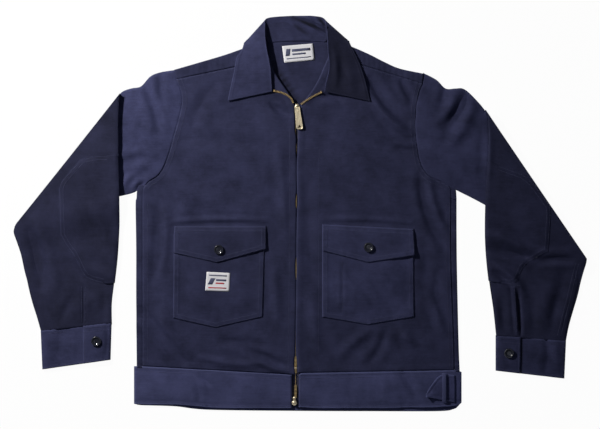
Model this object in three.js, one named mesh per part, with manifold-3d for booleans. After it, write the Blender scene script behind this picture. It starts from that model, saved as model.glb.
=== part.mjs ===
// A short zip jacket in navy twill, laid flat on its back with both sleeves folded over themselves.
// Millimetres, +Z up, the jacket's hem towards -Y. Left and right are as seen from above, and the
// underside rests on z = 0. Every cloth piece is a wall between two grids of points.
import * as THREE from 'three';
import { mergeVertices } from 'three/addons/utils/BufferGeometryUtils.js';
import Module from 'manifold-3d';

const wasm = await Module();
wasm.setup();

// Driving dimensions.
const CLOTH = 1.2;
const DOUBLE_CLOTH = 1.6;
const SEAM_GAP = 0.3;
const SIDE_TOP = 4.4;
const CENTRE_TOP = 6.3;
const SIDE_X = 275;
const FULL_X = 70;
const SECTION_STEP = 32;
const ACROSS_FRONT = 11;
const WRAP_ROLL = 2.2;
const SLEEVE_HALF = 2.4;
const SLEEVE_PUFF = 2.6;
const SLEEVE_FOREARM_BASE = 8.4;
const FOREARM_EDGE_LIFT = 3.8;
const FOREARM_STEP = { start: 62, long: 60 };
const ROUND_END = 0.03;
const ROUNDED_END = 9;
const ARM_SHARES = [1, 2, 3, 4, 5, 6, 7, 8, 9, 10].map((i) => i / 11);
const ARMHOLE_ROWS = 11;
const ARMHOLE_GAP = 0.25;
const PATCH_GAP = 1;
const PATCH_STEPS = 16;
const BUTTON_RADIUS = 8.5;
const BUTTON_TALL = 3.2;
const BUTTON_SIDES = 14;
const CUFF_TOP = 5;
const CUFF_LAP = 0.5;
const BAND_LEVELS = 4;
const FLAP_STAND = 0.5;
const FLAP_CORNER = 1.4;
const LOOP_X = [248, 254];
const LOOP_RAISE = 1.5;
const STRAP_SINK = 1.1;
const HEM_Y = -338;
const CHAIN_X = -8.6;
const CHAIN_WIDE = 5.2;
const CHAIN_LOW = 1.9;
const CHAIN_HIGH = 4.3;
const TAPE_WIDE = 12;
const TAPE_LOW = 2.4;
const TAPE_HIGH = 3.4;
const TEETH_WIDE = 3.6;
const TEETH_TALL = 2.3;
const TOP_STOP = { from: 0.4, to: 3.6, wide: 4, tall: 3.2 };
const BOTTOM_STOP = { low: -337, high: -330.5, top: 5.2 };
const SLIDER = { x: -5.5, y: 184, z: 6.75, wide: 9.5, long: 15, tall: 2.6, bail: 4.2 };
const PULL = { long: 37, top: 9.6, bottom: 13, thick: 1.6, tilt: 7, hole: 6.5 };
const BAIL = { radius: 1.9, wide: 4.4, raise: 0.6 };
const LABEL_THICK = 0.6;
const NECK_LABEL = { wide: 54, low: { x: -2.1, y: 266.8 }, high: { x: -5.4, y: 295.6 } };
const POCKET_LABEL = { wide: 42, low: { x: -146, y: -136 }, high: { x: -144.5, y: -102.5 } };

// Rows down each front: the outer end at the shoulder, armhole and side, the inner end at the zip.
const FRONT_LEFT_ROWS = [
  { outerX: -218, outerY: 235, innerX: -57, innerY: 268 },
  { outerX: -210, outerY: 214, innerX: -47, innerY: 250 },
  { outerX: -208, outerY: 192, innerX: -37, innerY: 233 },
  { outerX: -213, outerY: 167, innerX: -28, innerY: 220 },
  { outerX: -220, outerY: 143, innerX: -19, innerY: 207 },
  { outerX: -227, outerY: 118, innerX: -12, innerY: 195 },
  { outerX: -234, outerY: 97, innerX: -10, innerY: 174 },
  { outerX: -241, outerY: 80, innerX: -9.5, innerY: 146 },
  { outerX: -251, outerY: 66, innerX: -10, innerY: 118 },
  { outerX: -265, outerY: 57, innerX: -10, innerY: 88 },
  { outerX: -275, outerY: 46, innerX: -10, innerY: 56 },
  { outerX: -277, outerY: 24, innerX: -10, innerY: 24 },
  { outerX: -277, outerY: -81, innerX: -10.5, innerY: -81 },
  { outerX: -277, outerY: -221, innerX: -12, innerY: -221 },
  { outerX: -277, outerY: -267, innerX: -13, innerY: -282 },
];
const FRONT_RIGHT_ROWS = [
  { outerX: 214, outerY: 228, innerX: 50, innerY: 277 },
  { outerX: 209, outerY: 214, innerX: 40, innerY: 255 },
  { outerX: 204, outerY: 192, innerX: 32, innerY: 236 },
  { outerX: 202, outerY: 167, innerX: 22, innerY: 218 },
  { outerX: 202, outerY: 143, innerX: 11, innerY: 203 },
  { outerX: 205, outerY: 118, innerX: 1, innerY: 190 },
  { outerX: 208, outerY: 97, innerX: -3, innerY: 166 },
  { outerX: 214, outerY: 80, innerX: -4, innerY: 136 },
  { outerX: 225, outerY: 66, innerX: -5, innerY: 112 },
  { outerX: 244, outerY: 57, innerX: -6, innerY: 85 },
  { outerX: 262, outerY: 46, innerX: -6, innerY: 56 },
  { outerX: 264, outerY: 24, innerX: -6, innerY: 24 },
  { outerX: 264, outerY: -81, innerX: -7, innerY: -81 },
  { outerX: 269, outerY: -221, innerX: -8, innerY: -221 },
  { outerX: 270, outerY: -274, innerX: -6, innerY: -279 },
];

// The back plate's lower edge and its sides below the armholes, left and right, from the waistband up.
const BACK_SIDES = [
  { leftX: -284, leftY: -267, rightX: 275, rightY: -274 },
  { leftX: -285, leftY: -151, rightX: 272, rightY: -151 },
  { leftX: -286, leftY: 15, rightX: 270, rightY: 15 },
];

// The top outline of the back, from one armhole over the neck to the other.
const SHOULDER_LINE = [
  { x: -219, y: 249 }, { x: -176, y: 262 }, { x: -132, y: 275 }, { x: -97, y: 287 },
  { x: -64, y: 296 }, { x: -57, y: 299 }, { x: -6, y: 302 }, { x: 45, y: 300 },
  { x: 55, y: 298 }, { x: 87, y: 290 }, { x: 118, y: 277 }, { x: 148, y: 262 },
  { x: 174, y: 250 }, { x: 200, y: 245 }, { x: 214, y: 243 },
];

// Where the back rolls over onto the fronts: its outside edge and its seam with a front.
const SHOULDER_WRAP_LEFT = [
  { edgeX: -221, edgeY: 252, seamX: -218.3, seamY: 235.4 },
  { edgeX: -176, edgeY: 265, seamX: -176, seamY: 244.5 },
  { edgeX: -132, edgeY: 278, seamX: -132, seamY: 253.6 },
  { edgeX: -97, edgeY: 290, seamX: -97, seamY: 260.5 },
  { edgeX: -64, edgeY: 299, seamX: -64, seamY: 267.4 },
];
const SHOULDER_WRAP_RIGHT = [
  { edgeX: 58, edgeY: 300, seamX: 58, seamY: 275.6 },
  { edgeX: 87, edgeY: 293, seamX: 87, seamY: 266.8 },
  { edgeX: 118, edgeY: 280, seamX: 118, seamY: 257.4 },
  { edgeX: 148, edgeY: 265, seamX: 148, seamY: 248.4 },
  { edgeX: 174, edgeY: 254, seamX: 174, seamY: 240.5 },
  { edgeX: 216, edgeY: 245, seamX: 214, seamY: 228.4 },
];
const SIDE_WRAP_LEFT = [
  { edgeX: -287, edgeY: 26, seamX: -277.3, seamY: 26 },
  { edgeX: -289, edgeY: 15, seamX: -277.3, seamY: 15 },
  { edgeX: -288, edgeY: -64, seamX: -277.3, seamY: -64 },
  { edgeX: -288, edgeY: -151, seamX: -277.3, seamY: -151 },
  { edgeX: -287, edgeY: -267, seamX: -277.3, seamY: -267 },
];
const SIDE_WRAP_RIGHT = [
  { edgeX: 274, edgeY: 26, seamX: 264.3, seamY: 26 },
  { edgeX: 273, edgeY: 15, seamX: 264.3, seamY: 15 },
  { edgeX: 274, edgeY: -81, seamX: 264.3, seamY: -81 },
  { edgeX: 277, edgeY: -221, seamX: 269.3, seamY: -221 },
  { edgeX: 279, edgeY: -273, seamX: 270.3, seamY: -273 },
];

// Soft folds in the fronts: a straight crease line, how far it rises or sinks, and its half width.
const FRONT_FOLDS = [
  { x0: -285, y0: -163, x1: -205, y1: -262, rise: -1.6, wide: 15 },
  { x0: -106, y0: -232, x1: -30, y1: -266, rise: -1.3, wide: 14 },
  { x0: 122, y0: 235, x1: 188, y1: 162, rise: -1.8, wide: 15 },
  { x0: 133, y0: 188, x1: 192, y1: 139, rise: 1.6, wide: 14 },
  { x0: -52, y0: 192, x1: -24, y1: 172, rise: -1.2, wide: 14 },
  { x0: 209, y0: 67, x1: 251, y1: -60, rise: -1.3, wide: 14 },
  { x0: 234, y0: -154, x1: 248, y1: -203, rise: 1.4, wide: 15 },
  { x0: 180, y0: -205, x1: 196, y1: -225, rise: 1.3, wide: 15 },
  { x0: -180, y0: 120, x1: -100, y1: 60, rise: 1, wide: 26 },
];

// Sections along each sleeve: both ends of the flattened tube, how much of the armhole's curve
// the section keeps, how far it has turned over the fold, and its bulge.
const SLEEVE_LEFT_SECTIONS = [
  { innerX: -221.5, innerY: 251, outerX: -275, outerY: 46, bow: 1, turn: 0, bulge: 0.5 },
  { innerX: -246, innerY: 247, outerX: -284, outerY: 41, bow: 0.85, turn: 0, bulge: 0.9 },
  { innerX: -263, innerY: 240, outerX: -296, outerY: 35, bow: 0.6, turn: 0, bulge: 1 },
  { innerX: -279, innerY: 223, outerX: -330, outerY: 27, bow: 0.4, turn: 0, bulge: 1 },
  { innerX: -295, innerY: 219.5, outerX: -385, outerY: 13, bow: 0.2, turn: 0, bulge: 0.9 },
  { innerX: -307, innerY: 216, outerX: -448, outerY: -5, bow: 0.05, turn: 0, bulge: 0.5 },
  { innerX: -314, innerY: 212, outerX: -490, outerY: -16, bow: 0, turn: 0, bulge: 0.15 },
  { innerX: -316, innerY: 209, outerX: -501, outerY: -20, bow: 0, turn: 0.25, bulge: 0 },
  { innerX: -316, innerY: 209, outerX: -501, outerY: -20, bow: 0, turn: 0.5, bulge: 0 },
  { innerX: -316, innerY: 209, outerX: -501, outerY: -20, bow: 0, turn: 0.75, bulge: 0 },
  { innerX: -316, innerY: 207, outerX: -499, outerY: -22, bow: 0, turn: 1, bulge: 0.1 },
  { innerX: -318, innerY: 172, outerX: -501, outerY: -33, bow: 0, turn: 1, bulge: 0.35 },
  { innerX: -318, innerY: 130, outerX: -496, outerY: -50, bow: 0, turn: 1, bulge: 0.6 },
  { innerX: -318, innerY: 86, outerX: -490, outerY: -70, bow: 0, turn: 1, bulge: 0.8 },
  { innerX: -317, innerY: 41, outerX: -486, outerY: -88, bow: 0, turn: 1, bulge: 0.9 },
  { innerX: -317, innerY: 6, outerX: -483, outerY: -102, bow: 0, turn: 1, bulge: 1 },
  { innerX: -318, innerY: -30, outerX: -479, outerY: -117, bow: 0, turn: 1, bulge: 1 },
  { innerX: -321, innerY: -78, outerX: -475, outerY: -135, bow: 0, turn: 1, bulge: 1 },
  { innerX: -326, innerY: -122, outerX: -469, outerY: -158, bow: 0, turn: 1, bulge: 0.9 },
  { innerX: -330, innerY: -157, outerX: -462, outerY: -180, bow: 0, turn: 1, bulge: 0.75 },
  { innerX: -330, innerY: -190.5, outerX: -455, outerY: -204.5, bow: 0, turn: 1, bulge: 0.6 },
];
const SLEEVE_RIGHT_SECTIONS = [
  { innerX: 217, innerY: 245, outerX: 262, outerY: 46, bow: 1, turn: 0, bulge: 0.5 },
  { innerX: 238, innerY: 234, outerX: 280, outerY: 37, bow: 0.85, turn: 0, bulge: 0.9 },
  { innerX: 254, innerY: 219, outerX: 306, outerY: 24, bow: 0.6, turn: 0, bulge: 1 },
  { innerX: 271, innerY: 219, outerX: 343, outerY: 4, bow: 0.4, turn: 0, bulge: 1 },
  { innerX: 284, innerY: 219, outerX: 393, outerY: -22, bow: 0.2, turn: 0, bulge: 0.9 },
  { innerX: 297, innerY: 210, outerX: 447, outerY: -50, bow: 0.05, turn: 0, bulge: 0.5 },
  { innerX: 316, innerY: 190, outerX: 490, outerY: -70, bow: 0, turn: 0, bulge: 0.15 },
  { innerX: 324, innerY: 181, outerX: 500, outerY: -76, bow: 0, turn: 0.25, bulge: 0 },
  { innerX: 324, innerY: 181, outerX: 500, outerY: -76, bow: 0, turn: 0.5, bulge: 0 },
  { innerX: 324, innerY: 181, outerX: 500, outerY: -76, bow: 0, turn: 0.75, bulge: 0 },
  { innerX: 324, innerY: 178, outerX: 500, outerY: -79, bow: 0, turn: 1, bulge: 0.1 },
  { innerX: 327, innerY: 145, outerX: 499, outerY: -87, bow: 0, turn: 1, bulge: 0.35 },
  { innerX: 327, innerY: 105, outerX: 496, outerY: -98, bow: 0, turn: 1, bulge: 0.6 },
  { innerX: 325, innerY: 60, outerX: 493, outerY: -110, bow: 0, turn: 1, bulge: 0.8 },
  { innerX: 323, innerY: 18, outerX: 490, outerY: -123, bow: 0, turn: 1, bulge: 0.9 },
  { innerX: 323, innerY: -22, outerX: 487, outerY: -137, bow: 0, turn: 1, bulge: 1 },
  { innerX: 325, innerY: -70, outerX: 483, outerY: -152, bow: 0, turn: 1, bulge: 1 },
  { innerX: 330, innerY: -118, outerX: 477, outerY: -172, bow: 0, turn: 1, bulge: 0.9 },
  { innerX: 337, innerY: -166, outerX: 470, outerY: -197, bow: 0, turn: 1, bulge: 0.75 },
  { innerX: 342, innerY: -212.5, outerX: 465, outerY: -222.5, bow: 0, turn: 1, bulge: 0.6 },
];

// Soft folds in the upper walls of the sleeves.
const SLEEVE_LEFT_FOLDS = [
  { x0: -266, y0: 190, x1: -246, y1: 120, rise: -1.6, wide: 15 },
  { x0: -318, y0: 100, x1: -246, y1: 104, rise: 1.2, wide: 12 },
  { x0: -473, y0: -30, x1: -452, y1: -125, rise: -1.4, wide: 15 },
  { x0: -455, y0: 0, x1: -424, y1: -118, rise: 1.6, wide: 16 },
  { x0: -400, y0: -70, x1: -372, y1: -110, rise: -1.3, wide: 15 },
];
const SLEEVE_RIGHT_FOLDS = [
  { x0: 291, y0: 205, x1: 262, y1: 155, rise: -1.7, wide: 16 },
  { x0: 245, y0: 138, x1: 298, y1: 144, rise: 1.3, wide: 13 },
  { x0: 331, y0: -35, x1: 408, y1: -71, rise: 1.6, wide: 14 },
  { x0: 340, y0: -98, x1: 386, y1: -130, rise: -1.5, wide: 15 },
  { x0: 414, y0: -83, x1: 470, y1: -81, rise: -1.2, wide: 14 },
];

// Elbow patches, as lines that run down the sleeve: where each starts and stops along the sleeve's
// sections, and how far round the tube it lies at each end. They start under the inner edge.
const PATCH_LEFT_LINES = [
  { topAlong: 12.65, topRound: -ARM_SHARES[0], lowAlong: 18, lowRound: -ARM_SHARES[0] },
  { topAlong: 12.65, topRound: -ROUND_END, lowAlong: 18, lowRound: -ROUND_END },
  { topAlong: 12.65, topRound: 0, lowAlong: 18, lowRound: 0 },
  { topAlong: 12.5, topRound: ROUND_END, lowAlong: 18, lowRound: ROUND_END },
  { topAlong: 12.3, topRound: ARM_SHARES[0], lowAlong: 17.95, lowRound: ARM_SHARES[0] },
  { topAlong: 11.9, topRound: 0.18, lowAlong: 17.8, lowRound: 0.18 },
  { topAlong: 11.5, topRound: 0.27, lowAlong: 17.6, lowRound: 0.28 },
  { topAlong: 11.12, topRound: 0.36, lowAlong: 17.3, lowRound: 0.38 },
  { topAlong: 11.12, topRound: 0.45, lowAlong: 16.3, lowRound: 0.47 },
  { topAlong: 11.14, topRound: 0.53, lowAlong: 15.1, lowRound: 0.56 },
  { topAlong: 11.3, topRound: 0.57, lowAlong: 14, lowRound: 0.61 },
];
const PATCH_RIGHT_LINES = [
  { topAlong: 12.33, topRound: -ARM_SHARES[0], lowAlong: 17, lowRound: -ARM_SHARES[0] },
  { topAlong: 12.33, topRound: -ROUND_END, lowAlong: 17, lowRound: -ROUND_END },
  { topAlong: 12.33, topRound: 0, lowAlong: 17, lowRound: 0 },
  { topAlong: 12.2, topRound: ROUND_END, lowAlong: 17, lowRound: ROUND_END },
  { topAlong: 12.05, topRound: ARM_SHARES[0], lowAlong: 16.95, lowRound: ARM_SHARES[0] },
  { topAlong: 11.7, topRound: 0.18, lowAlong: 16.9, lowRound: 0.18 },
  { topAlong: 11.3, topRound: 0.27, lowAlong: 16.8, lowRound: 0.27 },
  { topAlong: 10.7, topRound: 0.365, lowAlong: 16.5, lowRound: 0.345 },
  { topAlong: 10.35, topRound: 0.45, lowAlong: 15.6, lowRound: 0.42 },
  { topAlong: 10.2, topRound: 0.53, lowAlong: 14.9, lowRound: 0.53 },
  { topAlong: 10.15, topRound: 0.6, lowAlong: 14.2, lowRound: 0.6 },
  { topAlong: 10.15, topRound: 0.635, lowAlong: 13.7, lowRound: 0.65 },
];

// The collar in sections from the left front end, round behind the neck, to the right front end:
// its neck seam, its roll line and the free edge of its fall.
const COLLAR_SECTIONS = [
  { seamX: -59, seamY: 216, seamZ: 8.6, rollX: -50, rollY: 213, rollZ: 11.5, edgeX: -127, edgeY: 197, edgeZ: 8.6 },
  { seamX: -62, seamY: 232, seamZ: 8.6, rollX: -51, rollY: 232, rollZ: 13, edgeX: -123, edgeY: 218, edgeZ: 8.4 },
  { seamX: -63, seamY: 256, seamZ: 8.6, rollX: -53, rollY: 257, rollZ: 14.5, edgeX: -117, edgeY: 245, edgeZ: 8 },
  { seamX: -66, seamY: 284, seamZ: 9, rollX: -59, rollY: 288, rollZ: 14.5, edgeX: -112, edgeY: 272, edgeZ: 7.8 },
  { seamX: -67, seamY: 303, seamZ: 8.8, rollX: -62, rollY: 312, rollZ: 12.5, edgeX: -104, edgeY: 284, edgeZ: 8 },
  { seamX: -63, seamY: 309, seamZ: 7, rollX: -62, rollY: 328, rollZ: 9, edgeX: -101, edgeY: 290, edgeZ: 7.4 },
  { seamX: -60, seamY: 308, seamZ: 5, rollX: -62, rollY: 338, rollZ: 5, edgeX: -101.5, edgeY: 292.5, edgeZ: 4 },
  { seamX: -56, seamY: 299.9, seamZ: 2.1, rollX: -57, rollY: 342, rollZ: 3, edgeX: -97, edgeY: 303, edgeZ: 0.7 },
  { seamX: -46, seamY: 300.3, seamZ: 1.9, rollX: -44, rollY: 344, rollZ: 3, edgeX: -60, edgeY: 308, edgeZ: 0.65 },
  { seamX: -20, seamY: 301.8, seamZ: 1.9, rollX: -20, rollY: 345.5, rollZ: 3, edgeX: -20, edgeY: 309, edgeZ: 0.65 },
  { seamX: 10, seamY: 302, seamZ: 1.9, rollX: 10, rollY: 346, rollZ: 3, edgeX: 12, edgeY: 309, edgeZ: 0.65 },
  { seamX: 34, seamY: 301, seamZ: 1.9, rollX: 34, rollY: 344, rollZ: 3, edgeX: 50, edgeY: 308, edgeZ: 0.65 },
  { seamX: 44, seamY: 300.9, seamZ: 2.1, rollX: 42, rollY: 340, rollZ: 4, edgeX: 82, edgeY: 303, edgeZ: 0.7 },
  { seamX: 47, seamY: 307, seamZ: 5, rollX: 44, rollY: 335, rollZ: 6, edgeX: 87.5, edgeY: 297, edgeZ: 4 },
  { seamX: 52, seamY: 307, seamZ: 7, rollX: 46, rollY: 322, rollZ: 9, edgeX: 88, edgeY: 294, edgeZ: 7.6 },
  { seamX: 57, seamY: 302, seamZ: 8.8, rollX: 47, rollY: 308, rollZ: 12.5, edgeX: 92, edgeY: 286, edgeZ: 10 },
  { seamX: 59, seamY: 284, seamZ: 9, rollX: 48, rollY: 285, rollZ: 14.5, edgeX: 103, edgeY: 262, edgeZ: 12.5 },
  { seamX: 60, seamY: 258, seamZ: 8.6, rollX: 50, rollY: 254, rollZ: 14, edgeX: 112, edgeY: 236, edgeZ: 13 },
  { seamX: 54, seamY: 232, seamZ: 8.6, rollX: 45, rollY: 230, rollZ: 12.5, edgeX: 118, edgeY: 213, edgeZ: 12.5 },
  { seamX: 52, seamY: 218, seamZ: 8.6, rollX: 42, rollY: 213, rollZ: 11.5, edgeX: 122, edgeY: 196, edgeZ: 11 },
];

// The waistband in sections round the body, from the left front end to the right front end: how far
// round to the underside a section has turned, its drop below the seam, its hem and its height.
const BAND_SECTIONS = [
  { x: -15, under: 0, drop: 0, hem: -341, z: 6.2 }, { x: -60, under: 0, drop: 0, hem: -341, z: 5.6 },
  { x: -95, under: 0, drop: 0, hem: -341, z: 6.6 }, { x: -130, under: 0, drop: 0, hem: -341, z: 5.2 },
  { x: -160, under: 0, drop: 0, hem: -340, z: 4.2 }, { x: -178, under: 0, drop: 0, hem: -338, z: 5.6 },
  { x: -215, under: 0, drop: 0, hem: -335, z: 5 }, { x: -250, under: 0, drop: 0, hem: -335, z: 4.6 },
  { x: -279, under: 0, drop: 0.4, hem: -334.5, z: 4.2 }, { x: -288, under: 0, drop: 0.4, hem: -334, z: 3.4 },
  { x: -291, under: 0.5, drop: 0.4, hem: -333.5, z: 2.2 }, { x: -288, under: 1, drop: 0.4, hem: -334, z: 1 },
  { x: -279, under: 1, drop: 0, hem: -336, z: 0.8 }, { x: -220, under: 1, drop: 0, hem: -338, z: 0.8 },
  { x: -160, under: 1, drop: 0, hem: -344, z: 0.8 }, { x: 0, under: 1, drop: 0, hem: -346, z: 0.8 },
  { x: 120, under: 1, drop: 0, hem: -346.5, z: 0.8 }, { x: 240, under: 1, drop: 0, hem: -346.5, z: 0.8 },
  { x: 268, under: 1, drop: 0, hem: -343, z: 0.8 }, { x: 277, under: 1, drop: 1.5, hem: -337, z: 0.9 },
  { x: 281.5, under: 0.5, drop: 6, hem: -331, z: 2.3 }, { x: 278.5, under: 0, drop: 3, hem: -334, z: 3.7 },
  { x: 268, under: 0, drop: 0, hem: -337, z: 4.6 }, { x: 245, under: 0, drop: 0, hem: -339, z: 5 },
  { x: 215, under: 0, drop: 0, hem: -340, z: 5.2 }, { x: 186, under: 0, drop: 0, hem: -340, z: 3.8 },
  { x: 160, under: 0, drop: 0, hem: -341, z: 5.6 }, { x: 120, under: 0, drop: 0, hem: -341, z: 5.4 },
  { x: 70, under: 0, drop: 0, hem: -341, z: 5.8 }, { x: 30, under: 0, drop: 0, hem: -341, z: 5.8 },
  { x: -3, under: 0, drop: 0, hem: -339, z: 6.2 },
];

// Patch pockets and their flaps: the top corners, bottom corners and the point between them.
const POCKETS = {
  left: { topLeft: [-222, -36], topRight: [-62, -36], lowLeft: [-223, -183], lowRight: [-66, -181], point: [-148, -200] },
  right: { topLeft: [38, -36], topRight: [198, -41], lowLeft: [38, -181], lowRight: [199, -181], point: [118, -195] },
};
const FLAPS = {
  left: { topLeft: [-221, -22], topRight: [-60, -22], lowLeft: [-222, -69], lowRight: [-60, -62], point: [-146, -86] },
  right: { topLeft: [38, -19], topRight: [198, -27], lowLeft: [38, -65], lowRight: [200, -73], point: [119, -86] },
};
const FLAP_BUTTONS = { left: [-143, -63], right: [119, -59] };
const CUFF_BUTTONS = { left: [-357, -223], right: [364, -244] };

// Cuffs: the two ends of the flattened band at its top and at its hem, and where its free end lies.
const CUFF_LEFT = {
  near: [[-331, -191.2], [-333, -256]], far: [[-455, -205.2], [-452, -273]], free: 0.6, under: 0.85,
};
const CUFF_RIGHT = {
  near: [[342, -213.2], [342, -275]], far: [[465, -223.2], [462, -289]], free: 0.65, under: 0.88,
};

// The side adjuster's strap comes round the right side to a slanted tip; its keeper loop in section.
const STRAP_ROWS = [
  { x: 219, top: -316, bottom: -321, z: 1.9 }, { x: 229, top: -300, bottom: -322, z: 1.9 },
  { x: 243, top: -284, bottom: -325, z: 1.7 }, { x: 256, top: -282, bottom: -328, z: 1.7 },
  { x: 270, top: -283, bottom: -331, z: 1.6 },
];
const LOOP_SECTION = [
  { y: -280, z: 0.4 }, { y: -281, z: 3.2 }, { y: -300, z: 4.2 }, { y: -326, z: 3.6 }, { y: -329, z: 0.4 },
];

// The two open stretches of zip above the slider, from the slider to the top stops.
const TEETH_LEFT = [
  { x: -12.5, y: 193 }, { x: -16, y: 201 }, { x: -23, y: 207 }, { x: -33, y: 211.5 }, { x: -44, y: 214 },
];
const TEETH_RIGHT = [
  { x: 0.5, y: 190.5 }, { x: 8, y: 196.5 }, { x: 22, y: 205 }, { x: 34, y: 211 },
];

// Small help with points.
const lerp = (a, b, t) => a + (b - a) * t;
const clamp01 = (t) => Math.min(1, Math.max(0, t));
const ease = (t) => clamp01(t) ** 2 * (3 - 2 * clamp01(t));
const steps = (count) => Array.from({ length: count + 1 }, (_, i) => i / count);

function mixRows(a, b, t) {
  return Object.fromEntries(Object.keys(a).map((name) => [name, lerp(a[name], b[name], t)]));
}

// A row part way along a table, where position 2.5 lies half way between rows 2 and 3.
function rowAt(table, position) {
  const first = Math.min(Math.max(Math.floor(position), 0), table.length - 2);
  return mixRows(table[first], table[first + 1], position - first);
}

// The table again, with rows put in wherever two of them are more than a step apart.
function withBetween(table, distance, step) {
  const rows = [table[0]];
  for (let i = 1; i < table.length; i += 1) {
    const count = Math.max(1, Math.ceil(distance(table[i - 1], table[i]) / step));
    for (let k = 1; k <= count; k += 1) rows.push(mixRows(table[i - 1], table[i], k / count));
  }
  return rows;
}

// The rise of a set of soft folds at one place.
function foldRise(folds, x, y) {
  let total = 0;
  for (const fold of folds) {
    const dx = fold.x1 - fold.x0;
    const dy = fold.y1 - fold.y0;
    const along = clamp01(((x - fold.x0) * dx + (y - fold.y0) * dy) / (dx * dx + dy * dy));
    const away = Math.hypot(x - fold.x0 - along * dx, y - fold.y0 - along * dy);
    total += fold.rise * Math.exp(-((away / fold.wide) ** 2));
  }
  return total;
}

// The height of the top of the fronts.
function frontTop(x, y) {
  const middle = ease((SIDE_X - Math.abs(x)) / (SIDE_X - FULL_X));
  return lerp(SIDE_TOP, CENTRE_TOP, middle) + foldRise(FRONT_FOLDS, x, y);
}

// Solids.
function geometryOf(points, index) {
  let volume = 0;
  for (let i = 0; i < index.length; i += 3) {
    const [a, b, c] = [0, 1, 2].map((k) => new THREE.Vector3(...points[index[i + k]]));
    volume += a.dot(b.cross(c));
  }
  if (volume < 0) index.reverse();
  const geometry = new THREE.BufferGeometry();
  geometry.setAttribute('position', new THREE.Float32BufferAttribute(points.flat(), 3));
  geometry.setIndex(index);
  return geometry;
}

// A wall between a lower and an upper grid of points. A round wall closes on itself across its rows.
function wall(lower, upper, round = false) {
  const rows = lower.length;
  const cols = lower[0].length;
  const points = [...lower.flat(), ...upper.flat()];
  const at = (side, row, col) => (side * rows + row) * cols + (col % cols);
  const index = [];
  const quad = (a, b, c, d) => index.push(a, b, c, a, c, d);
  const spans = round ? cols : cols - 1;
  for (let c = 0; c < spans; c += 1) {
    for (let r = 0; r < rows - 1; r += 1) {
      quad(at(1, r, c), at(1, r, c + 1), at(1, r + 1, c + 1), at(1, r + 1, c));
      quad(at(0, r, c), at(0, r + 1, c), at(0, r + 1, c + 1), at(0, r, c + 1));
    }
    quad(at(0, 0, c), at(0, 0, c + 1), at(1, 0, c + 1), at(1, 0, c));
    quad(at(1, rows - 1, c), at(1, rows - 1, c + 1), at(0, rows - 1, c + 1), at(0, rows - 1, c));
  }
  if (!round) {
    for (let r = 0; r < rows - 1; r += 1) {
      quad(at(1, r, 0), at(1, r + 1, 0), at(0, r + 1, 0), at(0, r, 0));
      quad(at(0, r, cols - 1), at(0, r + 1, cols - 1), at(1, r + 1, cols - 1), at(1, r, cols - 1));
    }
  }
  return geometryOf(points, index);
}

// A wall of even thickness about a grid of middle points, moved out along the grid's own normals.
function sheet(grid, thickness) {
  const rows = grid.length;
  const cols = grid[0].length;
  const vector = (r, c) => new THREE.Vector3(...grid[r][c]);
  const moved = (side) => grid.map((row, r) => row.map((point, c) => {
    const down = vector(Math.min(r + 1, rows - 1), c).sub(vector(Math.max(r - 1, 0), c));
    const across = vector(r, Math.min(c + 1, cols - 1)).sub(vector(r, Math.max(c - 1, 0)));
    const normal = across.cross(down).normalize();
    return normal.multiplyScalar((side * thickness) / 2).add(vector(r, c)).toArray();
  }));
  return wall(moved(-1), moved(1));
}

function solidOf(geometry) {
  const bare = new THREE.BufferGeometry();
  bare.setAttribute('position', geometry.getAttribute('position'));
  bare.setIndex(geometry.index);
  const merged = mergeVertices(bare, 1e-4);
  return new wasm.Manifold(new wasm.Mesh({
    numProp: 3,
    vertProperties: new Float32Array(merged.attributes.position.array),
    triVerts: new Uint32Array(merged.index.array),
  }));
}

function geometryFrom(solid) {
  const mesh = solid.getMesh();
  const geometry = new THREE.BufferGeometry();
  geometry.setAttribute('position', new THREE.Float32BufferAttribute(mesh.vertProperties, 3));
  geometry.setIndex(Array.from(mesh.triVerts));
  return geometry;
}

function joined(geometries) {
  const solids = geometries.map(solidOf);
  return geometryFrom(solids.reduce((whole, solid) => whole.add(solid)));
}

// Fronts.
function frontPanel(rows) {
  const apart = (a, b) => Math.max(
    Math.hypot(a.outerX - b.outerX, a.outerY - b.outerY),
    Math.hypot(a.innerX - b.innerX, a.innerY - b.innerY),
  );
  const plan = withBetween(rows, apart, SECTION_STEP).map((row) => steps(ACROSS_FRONT).map((t) => [
    lerp(row.outerX, row.innerX, t),
    lerp(row.outerY, row.innerY, t),
  ]));
  const upper = plan.map((row) => row.map(([x, y]) => [x, y, frontTop(x, y)]));
  const lower = upper.map((row) => row.map(([x, y, z]) => [x, y, z - CLOTH]));
  return wall(lower, upper);
}

// The back: a flat plate, with its rolled edges at both shoulders and both sides.
function backPlate() {
  const armholes = [];
  for (let i = ARMHOLE_ROWS - 1; i > 0; i -= 1) {
    const left = FRONT_LEFT_ROWS[i];
    const right = FRONT_RIGHT_ROWS[i];
    armholes.push({ leftX: left.outerX, leftY: left.outerY, rightX: right.outerX, rightY: right.outerY });
  }
  const last = armholes[armholes.length - 1];
  const apart = (a, b) => Math.abs(a.leftY - b.leftY);
  const rows = withBetween([...BACK_SIDES, ...armholes], apart, SECTION_STEP * 2).map((row) => (
    SHOULDER_LINE.map((_, i) => {
      const t = i / (SHOULDER_LINE.length - 1);
      return [lerp(row.leftX, row.rightX, t), lerp(row.leftY, row.rightY, t)];
    })
  ));
  for (const share of [0.5, 1]) {
    rows.push(SHOULDER_LINE.map((top, i) => {
      const t = i / (SHOULDER_LINE.length - 1);
      return [
        lerp(lerp(last.leftX, last.rightX, t), top.x, share),
        lerp(lerp(last.leftY, last.rightY, t), top.y, share),
      ];
    }));
  }
  const level = (z) => rows.map((row) => row.map(([x, y]) => [x, y, z]));
  return wall(level(0), level(CLOTH));
}

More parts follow.
